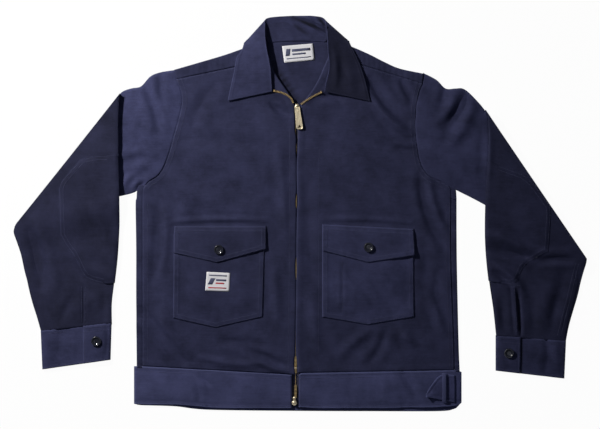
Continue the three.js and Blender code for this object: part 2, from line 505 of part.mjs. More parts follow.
// An edge where the cloth rolls over from the underside to its seam on top, as a bulging U.
const ROLL_TUCK = 5;
const ROLL_SHOULDER = 0.42;
const ROLL_LEVELS = [0.15, 0.5, 0.85];

function rolledEdge(stations) {
  const rise = SIDE_TOP - CLOTH;
  const low = CLOTH / 2;
  const shoulder = WRAP_ROLL * ROLL_SHOULDER;
  return sheet(stations.map((station) => {
    const reach = Math.hypot(station.seamX - station.edgeX, station.seamY - station.edgeY);
    const inX = (station.seamX - station.edgeX) / reach;
    const inY = (station.seamY - station.edgeY) / reach;
    const top = frontTop(station.seamX, station.seamY) - low;
    const section = [
      [WRAP_ROLL + ROLL_TUCK, low], [WRAP_ROLL, low], [shoulder, low + rise * ROLL_LEVELS[0]],
      [low, low + rise * ROLL_LEVELS[1]], [shoulder, low + rise * ROLL_LEVELS[2]],
      [WRAP_ROLL, top], [reach, top],
    ];
    return section.map(([d, z]) => [station.edgeX + inX * d, station.edgeY + inY * d, z]);
  }), CLOTH);
}

function back() {
  return joined([
    backPlate(),
    rolledEdge(SHOULDER_WRAP_LEFT),
    rolledEdge(SHOULDER_WRAP_RIGHT),
    rolledEdge(SIDE_WRAP_LEFT),
    rolledEdge(SIDE_WRAP_RIGHT),
  ]);
}

// Sleeves. A section is a flattened tube whose points go round by share: 0 to 1 from the inner end
// to the outer end over the wall that becomes the top of the forearm, and -1 to 0 back on the other.
const ROUNDS = [
  0, ROUND_END, ...ARM_SHARES, 1 - ROUND_END, 1,
  ROUND_END - 1, ...ARM_SHARES.map((share) => -share).reverse(), -ROUND_END,
];

// The armhole seam of a sleeve: the shoulder's edge and then the front's own armhole.
function armholeAt(first, rows, share) {
  const seam = [
    { x: first.innerX, y: first.innerY },
    ...rows.slice(0, ARMHOLE_ROWS).map((row) => ({ x: row.outerX, y: row.outerY })),
  ];
  return rowAt(seam, share * (seam.length - 1));
}

// The rings of a sleeve's outer face, moved out by an offset: one for each section.
function sleeveRings(sections, rows, folds, sideways, offset) {
  const strip = sections.filter((section) => section.turn === 0);
  const stripStart = strip[2];
  const stripEnd = strip[strip.length - 1];
  const foldLine = sections.find((section) => section.turn === 0.5);
  const lineX = foldLine.outerX - foldLine.innerX;
  const lineY = foldLine.outerY - foldLine.innerY;
  const lineLong = Math.hypot(lineX, lineY);
  const outX = (lineY / lineLong) * sideways;
  const outY = (-lineX / lineLong) * sideways;
  const axis = SLEEVE_HALF + SLEEVE_FOREARM_BASE / 2;

  // The forearm lies on the upper arm, and comes down to the floor past the upper arm's lower edge.
  const forearmBase = (x, y) => {
    const t = clamp01((x - stripStart.outerX) / (stripEnd.outerX - stripStart.outerX));
    const inside = y - lerp(stripStart.outerY, stripEnd.outerY, t);
    return SLEEVE_FOREARM_BASE * ease((inside + FOREARM_STEP.start) / FOREARM_STEP.long);
  };

  return sections.map((section) => ROUNDS.map((round) => {
    const share = Math.abs(round);
    const side = round < 0 ? -1 : 1;
    const spanX = section.outerX - section.innerX;
    const spanY = section.outerY - section.innerY;
    const wide = Math.hypot(spanX, spanY);
    let x = section.innerX + spanX * share;
    let y = section.innerY + spanY * share;
    if (section.bow > 0) {
      const first = sections[0];
      const seam = armholeAt(first, rows, share);
      x += section.bow * (seam.x - lerp(first.innerX, first.outerX, share) + sideways * ARMHOLE_GAP);
      y += section.bow * (seam.y - lerp(first.innerY, first.outerY, share) + ARMHOLE_GAP);
    }
    const fromEnd = Math.min(share, 1 - share) * wide;
    const swell = Math.sqrt(clamp01(1 - (1 - clamp01(fromEnd / ROUNDED_END)) ** 2));
    const half = (SLEEVE_HALF + offset) * swell;
    const endward = ((share < 0.5 ? -1 : 1) * offset * (1 - swell)) / wide;
    x += spanX * endward;
    y += spanY * endward;
    const puff = SLEEVE_PUFF * section.bulge * Math.sin(Math.PI * share) ** 0.8;
    const raised = puff + foldRise(folds, x, y) * swell * section.bulge;
    if (section.turn === 0) return [x, y, SLEEVE_HALF - side * half + (side < 0 ? raised : 0)];
    if (section.turn < 1) {
      const angle = section.turn * Math.PI;
      const radius = SLEEVE_FOREARM_BASE / 2 + side * half;
      return [
        x + outX * Math.sin(angle) * radius,
        y + outY * Math.sin(angle) * radius,
        axis - Math.cos(angle) * radius,
      ];
    }
    const middle = forearmBase(x, y) + SLEEVE_HALF + FOREARM_EDGE_LIFT * Math.exp(-share * 4);
    return [x, y, middle + side * half + (side > 0 ? raised : 0)];
  }));
}

function sleeve(rings) {
  return wall(rings(-CLOTH), rings(0), true);
}

// A point on a grid of rings, part way between its rings and rounds.
function onRings(grid, along, round) {
  const stations = [...ROUNDS.map((r) => (r < 0 ? 2 + r : r)), 2];
  const place = round < 0 ? 2 + round : round;
  let col = 0;
  while (col < stations.length - 2 && stations[col + 1] <= place) col += 1;
  const across = (place - stations[col]) / (stations[col + 1] - stations[col]);
  const row = Math.min(Math.floor(along), grid.length - 2);
  const corner = (r, c) => new THREE.Vector3(...grid[r][c % ROUNDS.length]);
  const first = corner(row, col).lerp(corner(row, col + 1), across);
  const second = corner(row + 1, col).lerp(corner(row + 1, col + 1), across);
  return first.lerp(second, along - row).toArray();
}

function elbowPatch(rings, lines) {
  const grid = (offset) => {
    const surface = rings(offset);
    return steps(PATCH_STEPS).map((t) => lines.map((line) => onRings(
      surface, lerp(line.topAlong, line.lowAlong, t), lerp(line.topRound, line.lowRound, t),
    )));
  };
  return wall(grid(PATCH_GAP), grid(PATCH_GAP + CLOTH));
}

// A cuff's band in section, from its covered end round the outer edge, under the wrist, round the
// inner edge and back over itself to its free end: shares across the cuff, and heights.
function cuffSection(shape) {
  const low = DOUBLE_CLOTH / 2;
  const over = CUFF_TOP + DOUBLE_CLOTH + CUFF_LAP;
  const arch = 0.3;
  return [
    { share: shape.under, z: CUFF_TOP }, { share: 0.45, z: CUFF_TOP + arch }, { share: 0.2, z: CUFF_TOP + arch },
    { share: 0.06, z: CUFF_TOP }, { share: 0.016, z: CUFF_TOP * 0.8 }, { share: 0.004, z: CUFF_TOP * 0.55 },
    { share: 0.016, z: low + 0.7 }, { share: 0.06, z: low }, { share: 0.35, z: low }, { share: 0.65, z: low },
    { share: 0.94, z: low }, { share: 0.984, z: low + 0.8 }, { share: 0.996, z: over / 2 },
    { share: 0.984, z: over - 1 }, { share: 0.94, z: over }, { share: lerp(0.94, shape.free, 0.5), z: over + arch },
    { share: shape.free, z: over },
  ];
}

function cuff(shape) {
  const section = cuffSection(shape);
  const between = (ends, level) => [lerp(ends[0][0], ends[1][0], level), lerp(ends[0][1], ends[1][1], level)];
  const rows = steps(2).map((level) => {
    const [nearX, nearY] = between(shape.near, level);
    const [farX, farY] = between(shape.far, level);
    return section.map(({ share, z }) => [lerp(farX, nearX, share), lerp(farY, nearY, share), z]);
  });
  return sheet(rows, DOUBLE_CLOTH);
}

// The collar: one sheet from the neck seam up to the roll and back down over its fall.
function collar() {
  const grid = COLLAR_SECTIONS.map((s) => {
    const between = (t) => [
      lerp(s.rollX, s.edgeX, t), lerp(s.rollY, s.edgeY, t), lerp(s.rollZ, s.edgeZ, t ** 0.8),
    ];
    const inner = (t) => [
      lerp(s.seamX, s.rollX, t), lerp(s.seamY, s.rollY, t), lerp(s.seamZ, s.rollZ, t),
    ];
    return [inner(0), inner(0.5), inner(0.86), [s.rollX, s.rollY, s.rollZ], ...[0.08, 0.3, 0.55, 0.8, 1].map(between)];
  });
  return sheet(grid, CLOTH);
}

// The level of the waist seam: along the lower edge of a front, or of the back.
function waistSeam(x, under) {
  const rows = x < 0 ? FRONT_LEFT_ROWS : FRONT_RIGHT_ROWS;
  const low = rows[rows.length - 1];
  const front = lerp(low.outerY, low.innerY, clamp01((x - low.outerX) / (low.innerX - low.outerX)));
  const plate = BACK_SIDES[0];
  const rear = lerp(plate.leftY, plate.rightY, clamp01((x - plate.leftX) / (plate.rightX - plate.leftX)));
  return lerp(front, rear, under) - SEAM_GAP;
}

// The waistband: one band from front end to front end, passing under the back.
function waistband() {
  return sheet(steps(BAND_LEVELS).map((level) => BAND_SECTIONS.map((s) => (
    [s.x, lerp(waistSeam(s.x, s.under) - s.drop, s.hem, level), s.z]
  ))), DOUBLE_CLOTH);
}

// A pocket or flap: rows from its top edge to its pointed lower edge.
function pointedPlan(shape, downCount, acrossHalf) {
  const share = (shape.point[0] - shape.lowLeft[0]) / (shape.lowRight[0] - shape.lowLeft[0]);
  const lowAt = (t) => (t <= share
    ? [lerp(shape.lowLeft[0], shape.point[0], t / share), lerp(shape.lowLeft[1], shape.point[1], t / share)]
    : [
      lerp(shape.point[0], shape.lowRight[0], (t - share) / (1 - share)),
      lerp(shape.point[1], shape.lowRight[1], (t - share) / (1 - share)),
    ]);
  const across = [
    ...steps(acrossHalf).map((t) => t * share),
    ...steps(acrossHalf).slice(1).map((t) => lerp(share, 1, t)),
  ];
  return steps(downCount).map((down) => across.map((t) => {
    const low = lowAt(t);
    const top = [lerp(shape.topLeft[0], shape.topRight[0], t), lerp(shape.topLeft[1], shape.topRight[1], t)];
    return { x: lerp(top[0], low[0], down), y: lerp(top[1], low[1], down), down, across: t };
  }));
}

function pocket(shape) {
  const upper = pointedPlan(shape, 5, 3).map((row) => row.map(({ x, y }) => (
    [x, y, frontTop(x, y) + SEAM_GAP + CLOTH]
  )));
  return wall(upper.map((row) => row.map(([x, y, z]) => [x, y, z - CLOTH])), upper);
}

// How high the underside of a flap stands over the front: sewn down along its top edge, over the
// pocket's mouth below that, and standing off a little at its lower right.
function flapStand(down, across) {
  return SEAM_GAP + (CLOTH + FLAP_STAND) * ease(down * 4) + FLAP_CORNER * down * down * across;
}

function flap(shape) {
  const plan = pointedPlan(shape, 4, 3);
  const level = (raise) => plan.map((row) => row.map(({ x, y, down, across }) => (
    [x, y, frontTop(x, y) + flapStand(down, across) + raise]
  )));
  return wall(level(0), level(DOUBLE_CLOTH));
}

// A dished button with a rim.
function button() {
  const profile = [
    [0, 0], [BUTTON_RADIUS * 0.8, 0], [BUTTON_RADIUS, BUTTON_TALL * 0.4], [BUTTON_RADIUS * 0.9, BUTTON_TALL],
    [BUTTON_RADIUS * 0.68, BUTTON_TALL * 0.7], [0, BUTTON_TALL * 0.6],
  ].map(([x, y]) => new THREE.Vector2(x, y));
  const geometry = new THREE.LatheGeometry(profile, BUTTON_SIDES);
  geometry.rotateX(Math.PI / 2);
  return closedLathe(geometry);
}

// A lathe's geometry with its seam and its axis points joined.
function closedLathe(geometry) {
  geometry.deleteAttribute('normal');
  geometry.deleteAttribute('uv');
  return mergeVertices(geometry, 1e-4);
}

// A strip of even width along a line, between two heights over the fronts.
function strip(line, wide, low, high, lift = () => 0) {
  const rows = line.map((point, i) => {
    const before = line[Math.max(i - 1, 0)];
    const after = line[Math.min(i + 1, line.length - 1)];
    const long = Math.hypot(after.x - before.x, after.y - before.y);
    const sideX = (after.y - before.y) / long;
    const sideY = -(after.x - before.x) / long;
    return [-0.5, 0.5].map((t) => [point.x + sideX * wide * t, point.y + sideY * wide * t]);
  });
  const level = (z) => rows.map((row) => row.map(([x, y]) => [x, y, z + lift(x, y)]));
  return wall(level(low), level(high));
}

function slider() {
  const half = SLIDER.wide / 2;
  const outline = new THREE.Shape();
  outline.moveTo(-half * 0.7, -SLIDER.long / 2);
  outline.lineTo(half * 0.7, -SLIDER.long / 2);
  outline.lineTo(half, SLIDER.long * 0.2);
  outline.lineTo(half * 0.55, SLIDER.long / 2);
  outline.lineTo(-half * 0.55, SLIDER.long / 2);
  outline.lineTo(-half, SLIDER.long * 0.2);
  outline.closePath();
  return new THREE.ExtrudeGeometry(outline, { depth: SLIDER.tall, bevelEnabled: false });
}

// The pull tab: a tapered plate with rounded lower corners and a small hole.
function pullTab() {
  const outline = new THREE.Shape();
  const end = -PULL.long;
  outline.moveTo(-PULL.top / 2, 2);
  outline.lineTo(PULL.top / 2, 2);
  outline.lineTo(PULL.bottom / 2, end + 4);
  outline.quadraticCurveTo(PULL.bottom / 2, end, PULL.bottom / 2 - 4, end);
  outline.lineTo(4 - PULL.bottom / 2, end);
  outline.quadraticCurveTo(-PULL.bottom / 2, end, -PULL.bottom / 2, end + 4);
  const hole = new THREE.Path();
  hole.moveTo(-PULL.hole / 2, end + 3);
  hole.lineTo(PULL.hole / 2, end + 3);
  hole.lineTo(0, end + 7);
  outline.holes.push(hole);
  return new THREE.ExtrudeGeometry(outline, { depth: PULL.thick, bevelEnabled: false, curveSegments: 3 });
}

// The bead on top of the slider that the pull tab hangs from.
function bail() {
  const geometry = new THREE.CylinderGeometry(BAIL.radius, BAIL.radius, BAIL.wide, 10);
  geometry.rotateZ(Math.PI / 2);
  return closedLathe(geometry);
}

// The top of the waistband's right front part, which is the last stretch of its sections.
const FRONT_BAND_START = 22;

function bandTop(x) {
  const front = BAND_SECTIONS.slice(FRONT_BAND_START);
  for (let i = 1; i < front.length; i += 1) {
    if (x >= front[i].x) {
      return lerp(front[i].z, front[i - 1].z, (x - front[i].x) / (front[i - 1].x - front[i].x)) + DOUBLE_CLOTH / 2;
    }
  }
  return front[0].z + DOUBLE_CLOTH / 2;
}

function sideStrap() {
  const level = (raise) => STRAP_ROWS.map((s) => steps(2).map((t) => (
    [s.x, lerp(s.top, s.bottom, t), bandTop(s.x) + s.z - STRAP_SINK + raise]
  )));
  return wall(level(0), level(DOUBLE_CLOTH));
}

function strapLoop() {
  return sheet(LOOP_X.map((x) => LOOP_SECTION.map(({ y, z }) => [x, y, bandTop(x) + z + LOOP_RAISE])), CLOTH);
}

// Assembly.
const jacket = new THREE.Group();
const cloth = { color: 0x2b2d4c, roughness: 0.9, metalness: 0 };
const brass = { color: 0xc9a24e, roughness: 0.35, metalness: 1 };
const plastic = { color: 0x15161c, roughness: 0.25, metalness: 0 };
const tape = { color: 0x23243c, roughness: 0.8, metalness: 0 };
const white = { color: 0xe8e8ea, roughness: 0.7, metalness: 0 };

function add(name, geometry, look, parent = jacket) {
  const mesh = new THREE.Mesh(geometry, new THREE.MeshStandardMaterial(look));
  mesh.name = name;
  parent.add(mesh);
  return mesh;
}

add('back', back(), cloth);
add('front_left', frontPanel(FRONT_LEFT_ROWS), cloth);
add('front_right', frontPanel(FRONT_RIGHT_ROWS), cloth);

const leftRings = (offset) => sleeveRings(
  SLEEVE_LEFT_SECTIONS, FRONT_LEFT_ROWS, SLEEVE_LEFT_FOLDS, -1, offset,
);
const rightRings = (offset) => sleeveRings(
  SLEEVE_RIGHT_SECTIONS, FRONT_RIGHT_ROWS, SLEEVE_RIGHT_FOLDS, 1, offset,
);
add('sleeve_left', sleeve(leftRings), cloth);
add('sleeve_right', sleeve(rightRings), cloth);
add('elbow_patch_left', elbowPatch(leftRings, PATCH_LEFT_LINES), cloth);
add('elbow_patch_right', elbowPatch(rightRings, PATCH_RIGHT_LINES), cloth);
add('cuff_left', cuff(CUFF_LEFT), cloth);
add('cuff_right', cuff(CUFF_RIGHT), cloth);
add('collar', collar(), cloth);
add('waistband', waistband(), cloth);
add('side_strap', sideStrap(), cloth);
add('strap_loop', strapLoop(), cloth);

for (const side of ['left', 'right']) {
  add(`pocket_${side}`, pocket(POCKETS[side]), cloth);
  add(`flap_${side}`, flap(FLAPS[side]), cloth);
  const [x, y] = FLAP_BUTTONS[side];
  const flapTop = frontTop(x, y) + flapStand(1, 0.5) + DOUBLE_CLOTH;
  add(`flap_button_${side}`, button(), plastic).position.set(x, y, flapTop + SEAM_GAP);
  const [cuffX, cuffY] = CUFF_BUTTONS[side];
  add(`cuff_button_${side}`, button(), plastic).position.set(
    cuffX, cuffY, CUFF_TOP + 2 * DOUBLE_CLOTH + 3 * SEAM_GAP,
  );
}

const CHAIN_TOP = SLIDER.y - SLIDER.long / 2 - SEAM_GAP;
const zipLine = [{ x: CHAIN_X, y: HEM_Y + 8 }, { x: CHAIN_X, y: CHAIN_TOP }];
add('zip_chain', strip(zipLine, CHAIN_WIDE, CHAIN_LOW, CHAIN_HIGH), brass);
const tapeOff = (CHAIN_WIDE + TAPE_WIDE) / 2 + SEAM_GAP;
for (const [side, sign] of [['left', -1], ['right', 1]]) {
  const line = [{ x: CHAIN_X + sign * tapeOff, y: HEM_Y }, { x: CHAIN_X + sign * tapeOff, y: CHAIN_TOP }];
  add(`zip_tape_${side}`, strip(line, TAPE_WIDE, TAPE_LOW, TAPE_HIGH), tape);
}
add('zip_teeth_left', strip(TEETH_LEFT, TEETH_WIDE, SEAM_GAP, TEETH_TALL, frontTop), brass);
add('zip_teeth_right', strip(TEETH_RIGHT, TEETH_WIDE, SEAM_GAP, TEETH_TALL, frontTop), brass);

const stopLine = [{ x: CHAIN_X, y: BOTTOM_STOP.low }, { x: CHAIN_X, y: BOTTOM_STOP.high }];
add('zip_bottom_stop', strip(stopLine, CHAIN_WIDE, CHAIN_LOW, BOTTOM_STOP.top), brass);
for (const [side, teeth] of [['left', TEETH_LEFT], ['right', TEETH_RIGHT]]) {
  const end = teeth[teeth.length - 1];
  const before = teeth[teeth.length - 2];
  const long = Math.hypot(end.x - before.x, end.y - before.y);
  const beyond = (d) => ({ x: end.x + ((end.x - before.x) / long) * d, y: end.y + ((end.y - before.y) / long) * d });
  const stopEnds = [beyond(TOP_STOP.from), beyond(TOP_STOP.to)];
  add(`zip_top_stop_${side}`, strip(stopEnds, TOP_STOP.wide, SEAM_GAP, TOP_STOP.tall, frontTop), brass);
}

const onBack = CLOTH + SEAM_GAP;
const neckLabel = strip([NECK_LABEL.low, NECK_LABEL.high], NECK_LABEL.wide, onBack, onBack + LABEL_THICK);
add('neck_label', neckLabel, white);
const onPocket = 2 * SEAM_GAP + CLOTH + 0.1;
const pocketLine = [POCKET_LABEL.low, POCKET_LABEL.high];
add('pocket_label', strip(
  pocketLine, POCKET_LABEL.wide, onPocket, onPocket + LABEL_THICK, frontTop,
), white);

const sliderGroup = new THREE.Group();
sliderGroup.position.set(SLIDER.x, SLIDER.y, SLIDER.z);
sliderGroup.rotation.z = THREE.MathUtils.degToRad(PULL.tilt);
jacket.add(sliderGroup);
const sliderBody = joined([
  slider(),
  bail().translate(0, SLIDER.bail, SLIDER.tall + BAIL.raise),
]);
add('zip_slider', sliderBody, brass, sliderGroup);
add('zip_pull', pullTab(), brass, sliderGroup).position.set(0, 0, SLIDER.tall + SEAM_GAP);

// The underside's centre is the origin.
const box = new THREE.Box3().setFromObject(jacket);
const centre = box.getCenter(new THREE.Vector3());
jacket.position.set(-centre.x, -centre.y, -box.min.z);

export default jacket;
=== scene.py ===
# The looks of a short zip jacket in navy twill, laid flat with its sleeves folded over.
# Lengths are millimetres in the drawing's frame: hem towards -Y, +Z up, left and right as seen
# from above. put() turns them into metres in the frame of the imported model.
import math
from functools import partial

import bpy
import numpy as np
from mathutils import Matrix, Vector


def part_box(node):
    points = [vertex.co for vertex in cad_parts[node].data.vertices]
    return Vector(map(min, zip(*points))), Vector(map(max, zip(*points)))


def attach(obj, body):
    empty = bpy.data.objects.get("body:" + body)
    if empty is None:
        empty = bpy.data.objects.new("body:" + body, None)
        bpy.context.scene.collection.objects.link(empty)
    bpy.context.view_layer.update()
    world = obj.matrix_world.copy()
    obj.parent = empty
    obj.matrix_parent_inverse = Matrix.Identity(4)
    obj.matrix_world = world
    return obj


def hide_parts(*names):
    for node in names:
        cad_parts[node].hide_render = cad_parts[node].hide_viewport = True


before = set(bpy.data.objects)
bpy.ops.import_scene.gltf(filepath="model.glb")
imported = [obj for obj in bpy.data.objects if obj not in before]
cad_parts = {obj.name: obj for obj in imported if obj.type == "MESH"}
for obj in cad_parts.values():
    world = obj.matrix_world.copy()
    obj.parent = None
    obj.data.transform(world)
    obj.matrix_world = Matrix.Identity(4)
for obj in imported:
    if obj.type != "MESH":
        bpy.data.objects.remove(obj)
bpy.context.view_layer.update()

# Sizes shared with the solids.
CLOTH = 1.2
DOUBLE_CLOTH = 1.6
SEAM_GAP = 0.3
SIDE_TOP = 4.4
CENTRE_TOP = 6.3
SIDE_X = 275
FULL_X = 70
WRAP_ROLL = 2.2
SLEEVE_HALF = 2.4
SLEEVE_PUFF = 2.6
FOREARM_BASE = 8.4
FOREARM_EDGE_LIFT = 3.8
ROUNDED_END = 9
ARMHOLE_GAP = 0.25
CUFF_TOP = 5
CHAIN_X = -8.6
CHAIN_WIDE = 5.2
CHAIN_LOW = 1.9
HEM_Y = -338
SLIDER_X, SLIDER_Y, SLIDER_Z, SLIDER_TALL, SLIDER_LONG = -5.5, 184, 6.75, 2.6, 15
PULL_TILT = math.radians(7)

# The drawing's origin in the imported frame, found from the zip chain.
chain_low, chain_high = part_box("zip_chain")
SHIFT = np.array([
    (chain_low.x + chain_high.x) * 500 - CHAIN_X,
    chain_low.y * 1000 - (HEM_Y + 8),
    chain_low.z * 1000 - CHAIN_LOW,
])

# Fronts from shoulder to waist: outer end, inner end.
FRONT_LEFT = np.array([
    (-218, 235, -57, 268), (-210, 214, -47, 250), (-208, 192, -37, 233), (-213, 167, -28, 220),
    (-220, 143, -19, 207), (-227, 118, -12, 195), (-234, 97, -10, 174), (-241, 80, -9.5, 146),
    (-251, 66, -10, 118), (-265, 57, -10, 88), (-275, 46, -10, 56), (-277, 24, -10, 24),
    (-277, -81, -10.5, -81), (-277, -221, -12, -221), (-277, -267, -13, -282),
], float)
FRONT_RIGHT = np.array([
    (214, 228, 50, 277), (209, 214, 40, 255), (204, 192, 32, 236), (202, 167, 22, 218),
    (202, 143, 11, 203), (205, 118, 1, 190), (208, 97, -3, 166), (214, 80, -4, 136),
    (225, 66, -5, 112), (244, 57, -6, 85), (262, 46, -6, 56), (264, 24, -6, 24),
    (264, -81, -7, -81), (269, -221, -8, -221), (270, -274, -6, -279),
], float)

# The top outline of the back plate, and where the back rolls over onto the fronts:
# outside edge, seam with the front.
SHOULDER_LINE = np.array([
    (-219, 249), (-176, 262), (-132, 275), (-97, 287), (-64, 296), (-57, 299), (-6, 302), (45, 300),
    (55, 298), (87, 290), (118, 277), (148, 262), (174, 250), (200, 245), (214, 243),
], float)
BACK_SIDES = np.array([(-284, -267, 275, -274), (-285, -151, 272, -151), (-286, 15, 270, 15)], float)
WRAPS = {
    "shoulder_left": [
        (-221, 252, -218.3, 235.4), (-176, 265, -176, 244.5), (-132, 278, -132, 253.6),
        (-97, 290, -97, 260.5), (-64, 299, -64, 267.4),
    ],
    "shoulder_right": [
        (58, 300, 58, 275.6), (87, 293, 87, 266.8), (118, 280, 118, 257.4), (148, 265, 148, 248.4),
        (174, 254, 174, 240.5), (216, 245, 214, 228.4),
    ],
    "side_left": [
        (-284, 51, -274, 49), (-286.5, 40, -276.5, 40), (-287.5, 26, -277.3, 26),
        (-289, 15, -277.3, 15), (-288, -64, -277.3, -64), (-288, -151, -277.3, -151),
        (-287, -270, -277.3, -270),
    ],
    "side_right": [
        (269.5, 51, 261, 49), (272.5, 40, 263.5, 40), (273.5, 26, 264.3, 26), (273.5, 15, 264.3, 15),
        (274, -81, 264.3, -81), (277, -221, 269.3, -221), (279, -277.5, 270.3, -277.5),
    ],
}

# How strongly the listed folds rise on the fronts and on the sleeves, the share of their listed
# width that they take on the fronts, and how pale an edge is painted: rubbing, with a painted
# highlight where a raised edge catches the light.
FRONT_FOLD_GAIN = 3.0
FRONT_FOLD_WIDTH = 0.72
SLEEVE_FOLD_GAIN = 2.4
WORN_AND_LIT_EDGE = 0.28
# How far the fronts rise beside the open neck, and the height that their creases stay above.
OPENING_LIFT = 4.2
LOWEST_TOP = 2.8

# Painted light and shade: how light or dark each cloth piece is painted, for the way the light
# falls on it; for the sleeves above and below the fold.
PAINTED_LIGHT = {
    "sleeve_left": (1.52, 0.66), "sleeve_right": (1.25, 0.78), "front_left": 1.06,
    "front_right": 1.02, "waistband": 1.75, "collar_left": 1.25, "collar_right": 0.48,
    "pocket_left": 1.05, "pocket_right": 1.3, "flap_left": 0.95, "flap_right": 1.2,
    "cuff_left": 1.32, "cuff_right": 1.2,
}

# Folds: both ends, how far the crease bows to its left, its rise, and its half width.
FRONT_FOLDS = [
    (-285, -163, -205, -262, 0, -1.9, 11), (-262, -170, -196, -246, 0, 0.9, 14),
    (-106, -232, -30, -266, 0, -1.5, 9), (-173, -252, -66, -262, -6, 1.0, 9),
    (-66, -262, -26, -278, 0, 1.1, 8), (122, 235, 188, 162, -6, -2.2, 11),
    (133, 188, 192, 139, -5, 1.7, 10), (176, 232, 196, 197, 0, -1.2, 8),
    (168, 124, 197, 117, 0, 1.0, 7), (-52, 192, -20, 172, -3, -1.5, 7),
    (-40, 196, -22, 186, 0, 0.8, 6), (36, 205, 71, 199, 3, -1.6, 9), (209, 67, 251, -60, -8, -1.4, 11),
    (226, 60, 262, -40, -8, 0.9, 9), (234, -154, 248, -203, 0, 1.5, 11),
    (71, -247, 124, -205, 4, 0.9, 12), (178, -208, 196, -228, 0, 1.6, 12),
    (-180, 120, -100, 60, 0, 1.0, 26), (-230, 62, -150, 20, -8, 0.7, 18),
    (60, 90, 150, 60, 6, 0.7, 24), (-200, 30, -205, -10, 0, 0.5, 20), (30, 150, 90, 110, 4, 0.6, 20),
    (-120, 200, -60, 150, 0, -0.6, 22), (-222, -14, -60, -12, 3, 1.0, 6),
    (-150, 225, -190, 150, -6, -0.8, 16), (-40, 120, -26, -40, 3, 0.7, 12),
    (14, 60, 20, -120, -3, -0.6, 14), (-46, -90, -40, -190, 0, 0.7, 11),
    (20, -150, 30, -240, 0, 0.7, 12), (150, -205, 120, -262, 4, -0.8, 10),
    (-250, 20, -258, -120, 4, -0.8, 12), (-236, 10, -244, -110, 4, 0.7, 10),
    (240, -100, 246, -190, -4, -0.9, 11), (70, 150, 180, 110, -6, -0.8, 14),
    (-205, 130, -60, 115, 5, -0.6, 16), (-140, -225, -60, -232, 3, -0.8, 9),
    (40, -10, 196, -16, 3, 0.7, 6), (-240, -120, -236, -210, 0, 0.6, 16),
    (216, -60, 226, -130, 0, -0.7, 14),
]
SLEEVE_LEFT_FOLDS = [
    (-272, 222, -246, 141, 5, -1.8, 9), (-244, 247, -228, 162, -8, -1.3, 7),
    (-254, 215, -236, 150, 4, 0.9, 9), (-318, 104, -244, 106, 3, 1.0, 7),
    (-304, 78, -268, 84, 0, 1.1, 7), (-284, 72, -312, 42, -6, 1.0, 6),
    (-256, 116, -244, 114, 0, -0.9, 6), (-275, 54, -288, 40, 0, -1.4, 5),
    (-473, -30, -452, -132, 3, -2.0, 9), (-478, 8, -424, -122, 8, 1.7, 10),
    (-372, -95, -328, -115, 2, 1.0, 8), (-410, -76, -382, -118, 0, -1.3, 9),
    (-366, 12, -336, -52, 4, 1.1, 10), (-444, -70, -440, -170, 0, 0.7, 14),
    (-350, -140, -390, -170, 0, 0.6, 12), (-379.5, -126, -379.5, -192, 0, -1.1, 3.4),
    (-402, -150, -420, -188, 0, -0.7, 7), (-346, -150, -342, -188, 0, -0.6, 6),
    (-380, 120, -350, 60, 0, 0.5, 18), (-440, 20, -400, -20, 0, 0.5, 16),
]
SLEEVE_RIGHT_FOLDS = [
    (291, 213, 252, 152, 7, -2.1, 10), (252, 219, 246, 191, 0, -0.9, 7),
    (244, 142, 298, 144, -3, 1.3, 8), (252, 119, 271, 124, 0, 0.8, 6), (268, 200, 240, 160, 4, 0.8, 8),
    (331, -35, 408, -71, 3, 2.4, 8), (329, -58, 408, -77, -3, -2.2, 7),
    (340, -92, 392, -142, 5, 2.3, 7), (340, -102, 372, -122, 0, -1.8, 6),
    (414, -83, 475, -81, 3, -2.2, 7), (350, 20, 440, -30, 4, -0.8, 16),
    (460, -96, 440, -180, 4, -0.9, 10), (412, -76, 470, -70, 0, 0.8, 8),
    (395, -10, 440, -50, 0, 0.6, 16), (430, -120, 420, -190, 0, 0.6, 14),
    (378.5, -130, 384.5, -211, 0, -2.6, 2.8), (373, -126, 379, -211, 0, 1.5, 3),
    (352, -150, 356, -205, 0, -0.8, 7), (404, -150, 410, -208, 0, -0.9, 8),
    (448, -150, 440, -205, 0, -0.7, 8), (300, 190, 262, 120, 5, 1.3, 9),
    (330, 150, 326, 60, 0, 0.9, 7),
]
COLLAR_FOLDS = [
    (-8, 348, 50, 323, 2, 5.2, 3.4), (6, 337, 46, 312, 2, 4.6, 3.4), (26, 342, 40, 326, 0, 2.4, 3),
    (-30, 330, -10, 306, 0, 1.0, 6), (56, 290, 62, 222, 4, 1.5, 6), (70, 270, 92, 226, -4, -1.3, 7),
    (-100, 250, -72, 232, 0, 0.5, 10), (66, 268, 70, 225, 2, -1.2, 8), (84, 250, 88, 214, 0, 0.9, 8),
    (100, 236, 104, 210, 0, -0.9, 7),
]
# Painted shadow and shade: lines where the colour is darkened for the shade that falls there,
# inside the neck along the left front, in a slit at the right wrist, on the right cuff beside its
# free end, and in creases of the collar's stand.
NECK_SHADES = [(-46, 258, -8, 199, 0, -0.9, 5.5)]
SLIT_SHADES = [(377.5, -128, 383.5, -212, 0, -0.9, 2.4)]
CUFF_SHADES = [(386.8, -214, 387.2, -282, 0, -0.9, 2.2)]
STAND_SHADES = [
    (-17, 345, 42, 320, 0, -0.95, 4.2), (-15, 338, 12, 315, -2, -0.6, 4.5),
    (30, 344, 44, 327, 0, -0.9, 3.6),
]

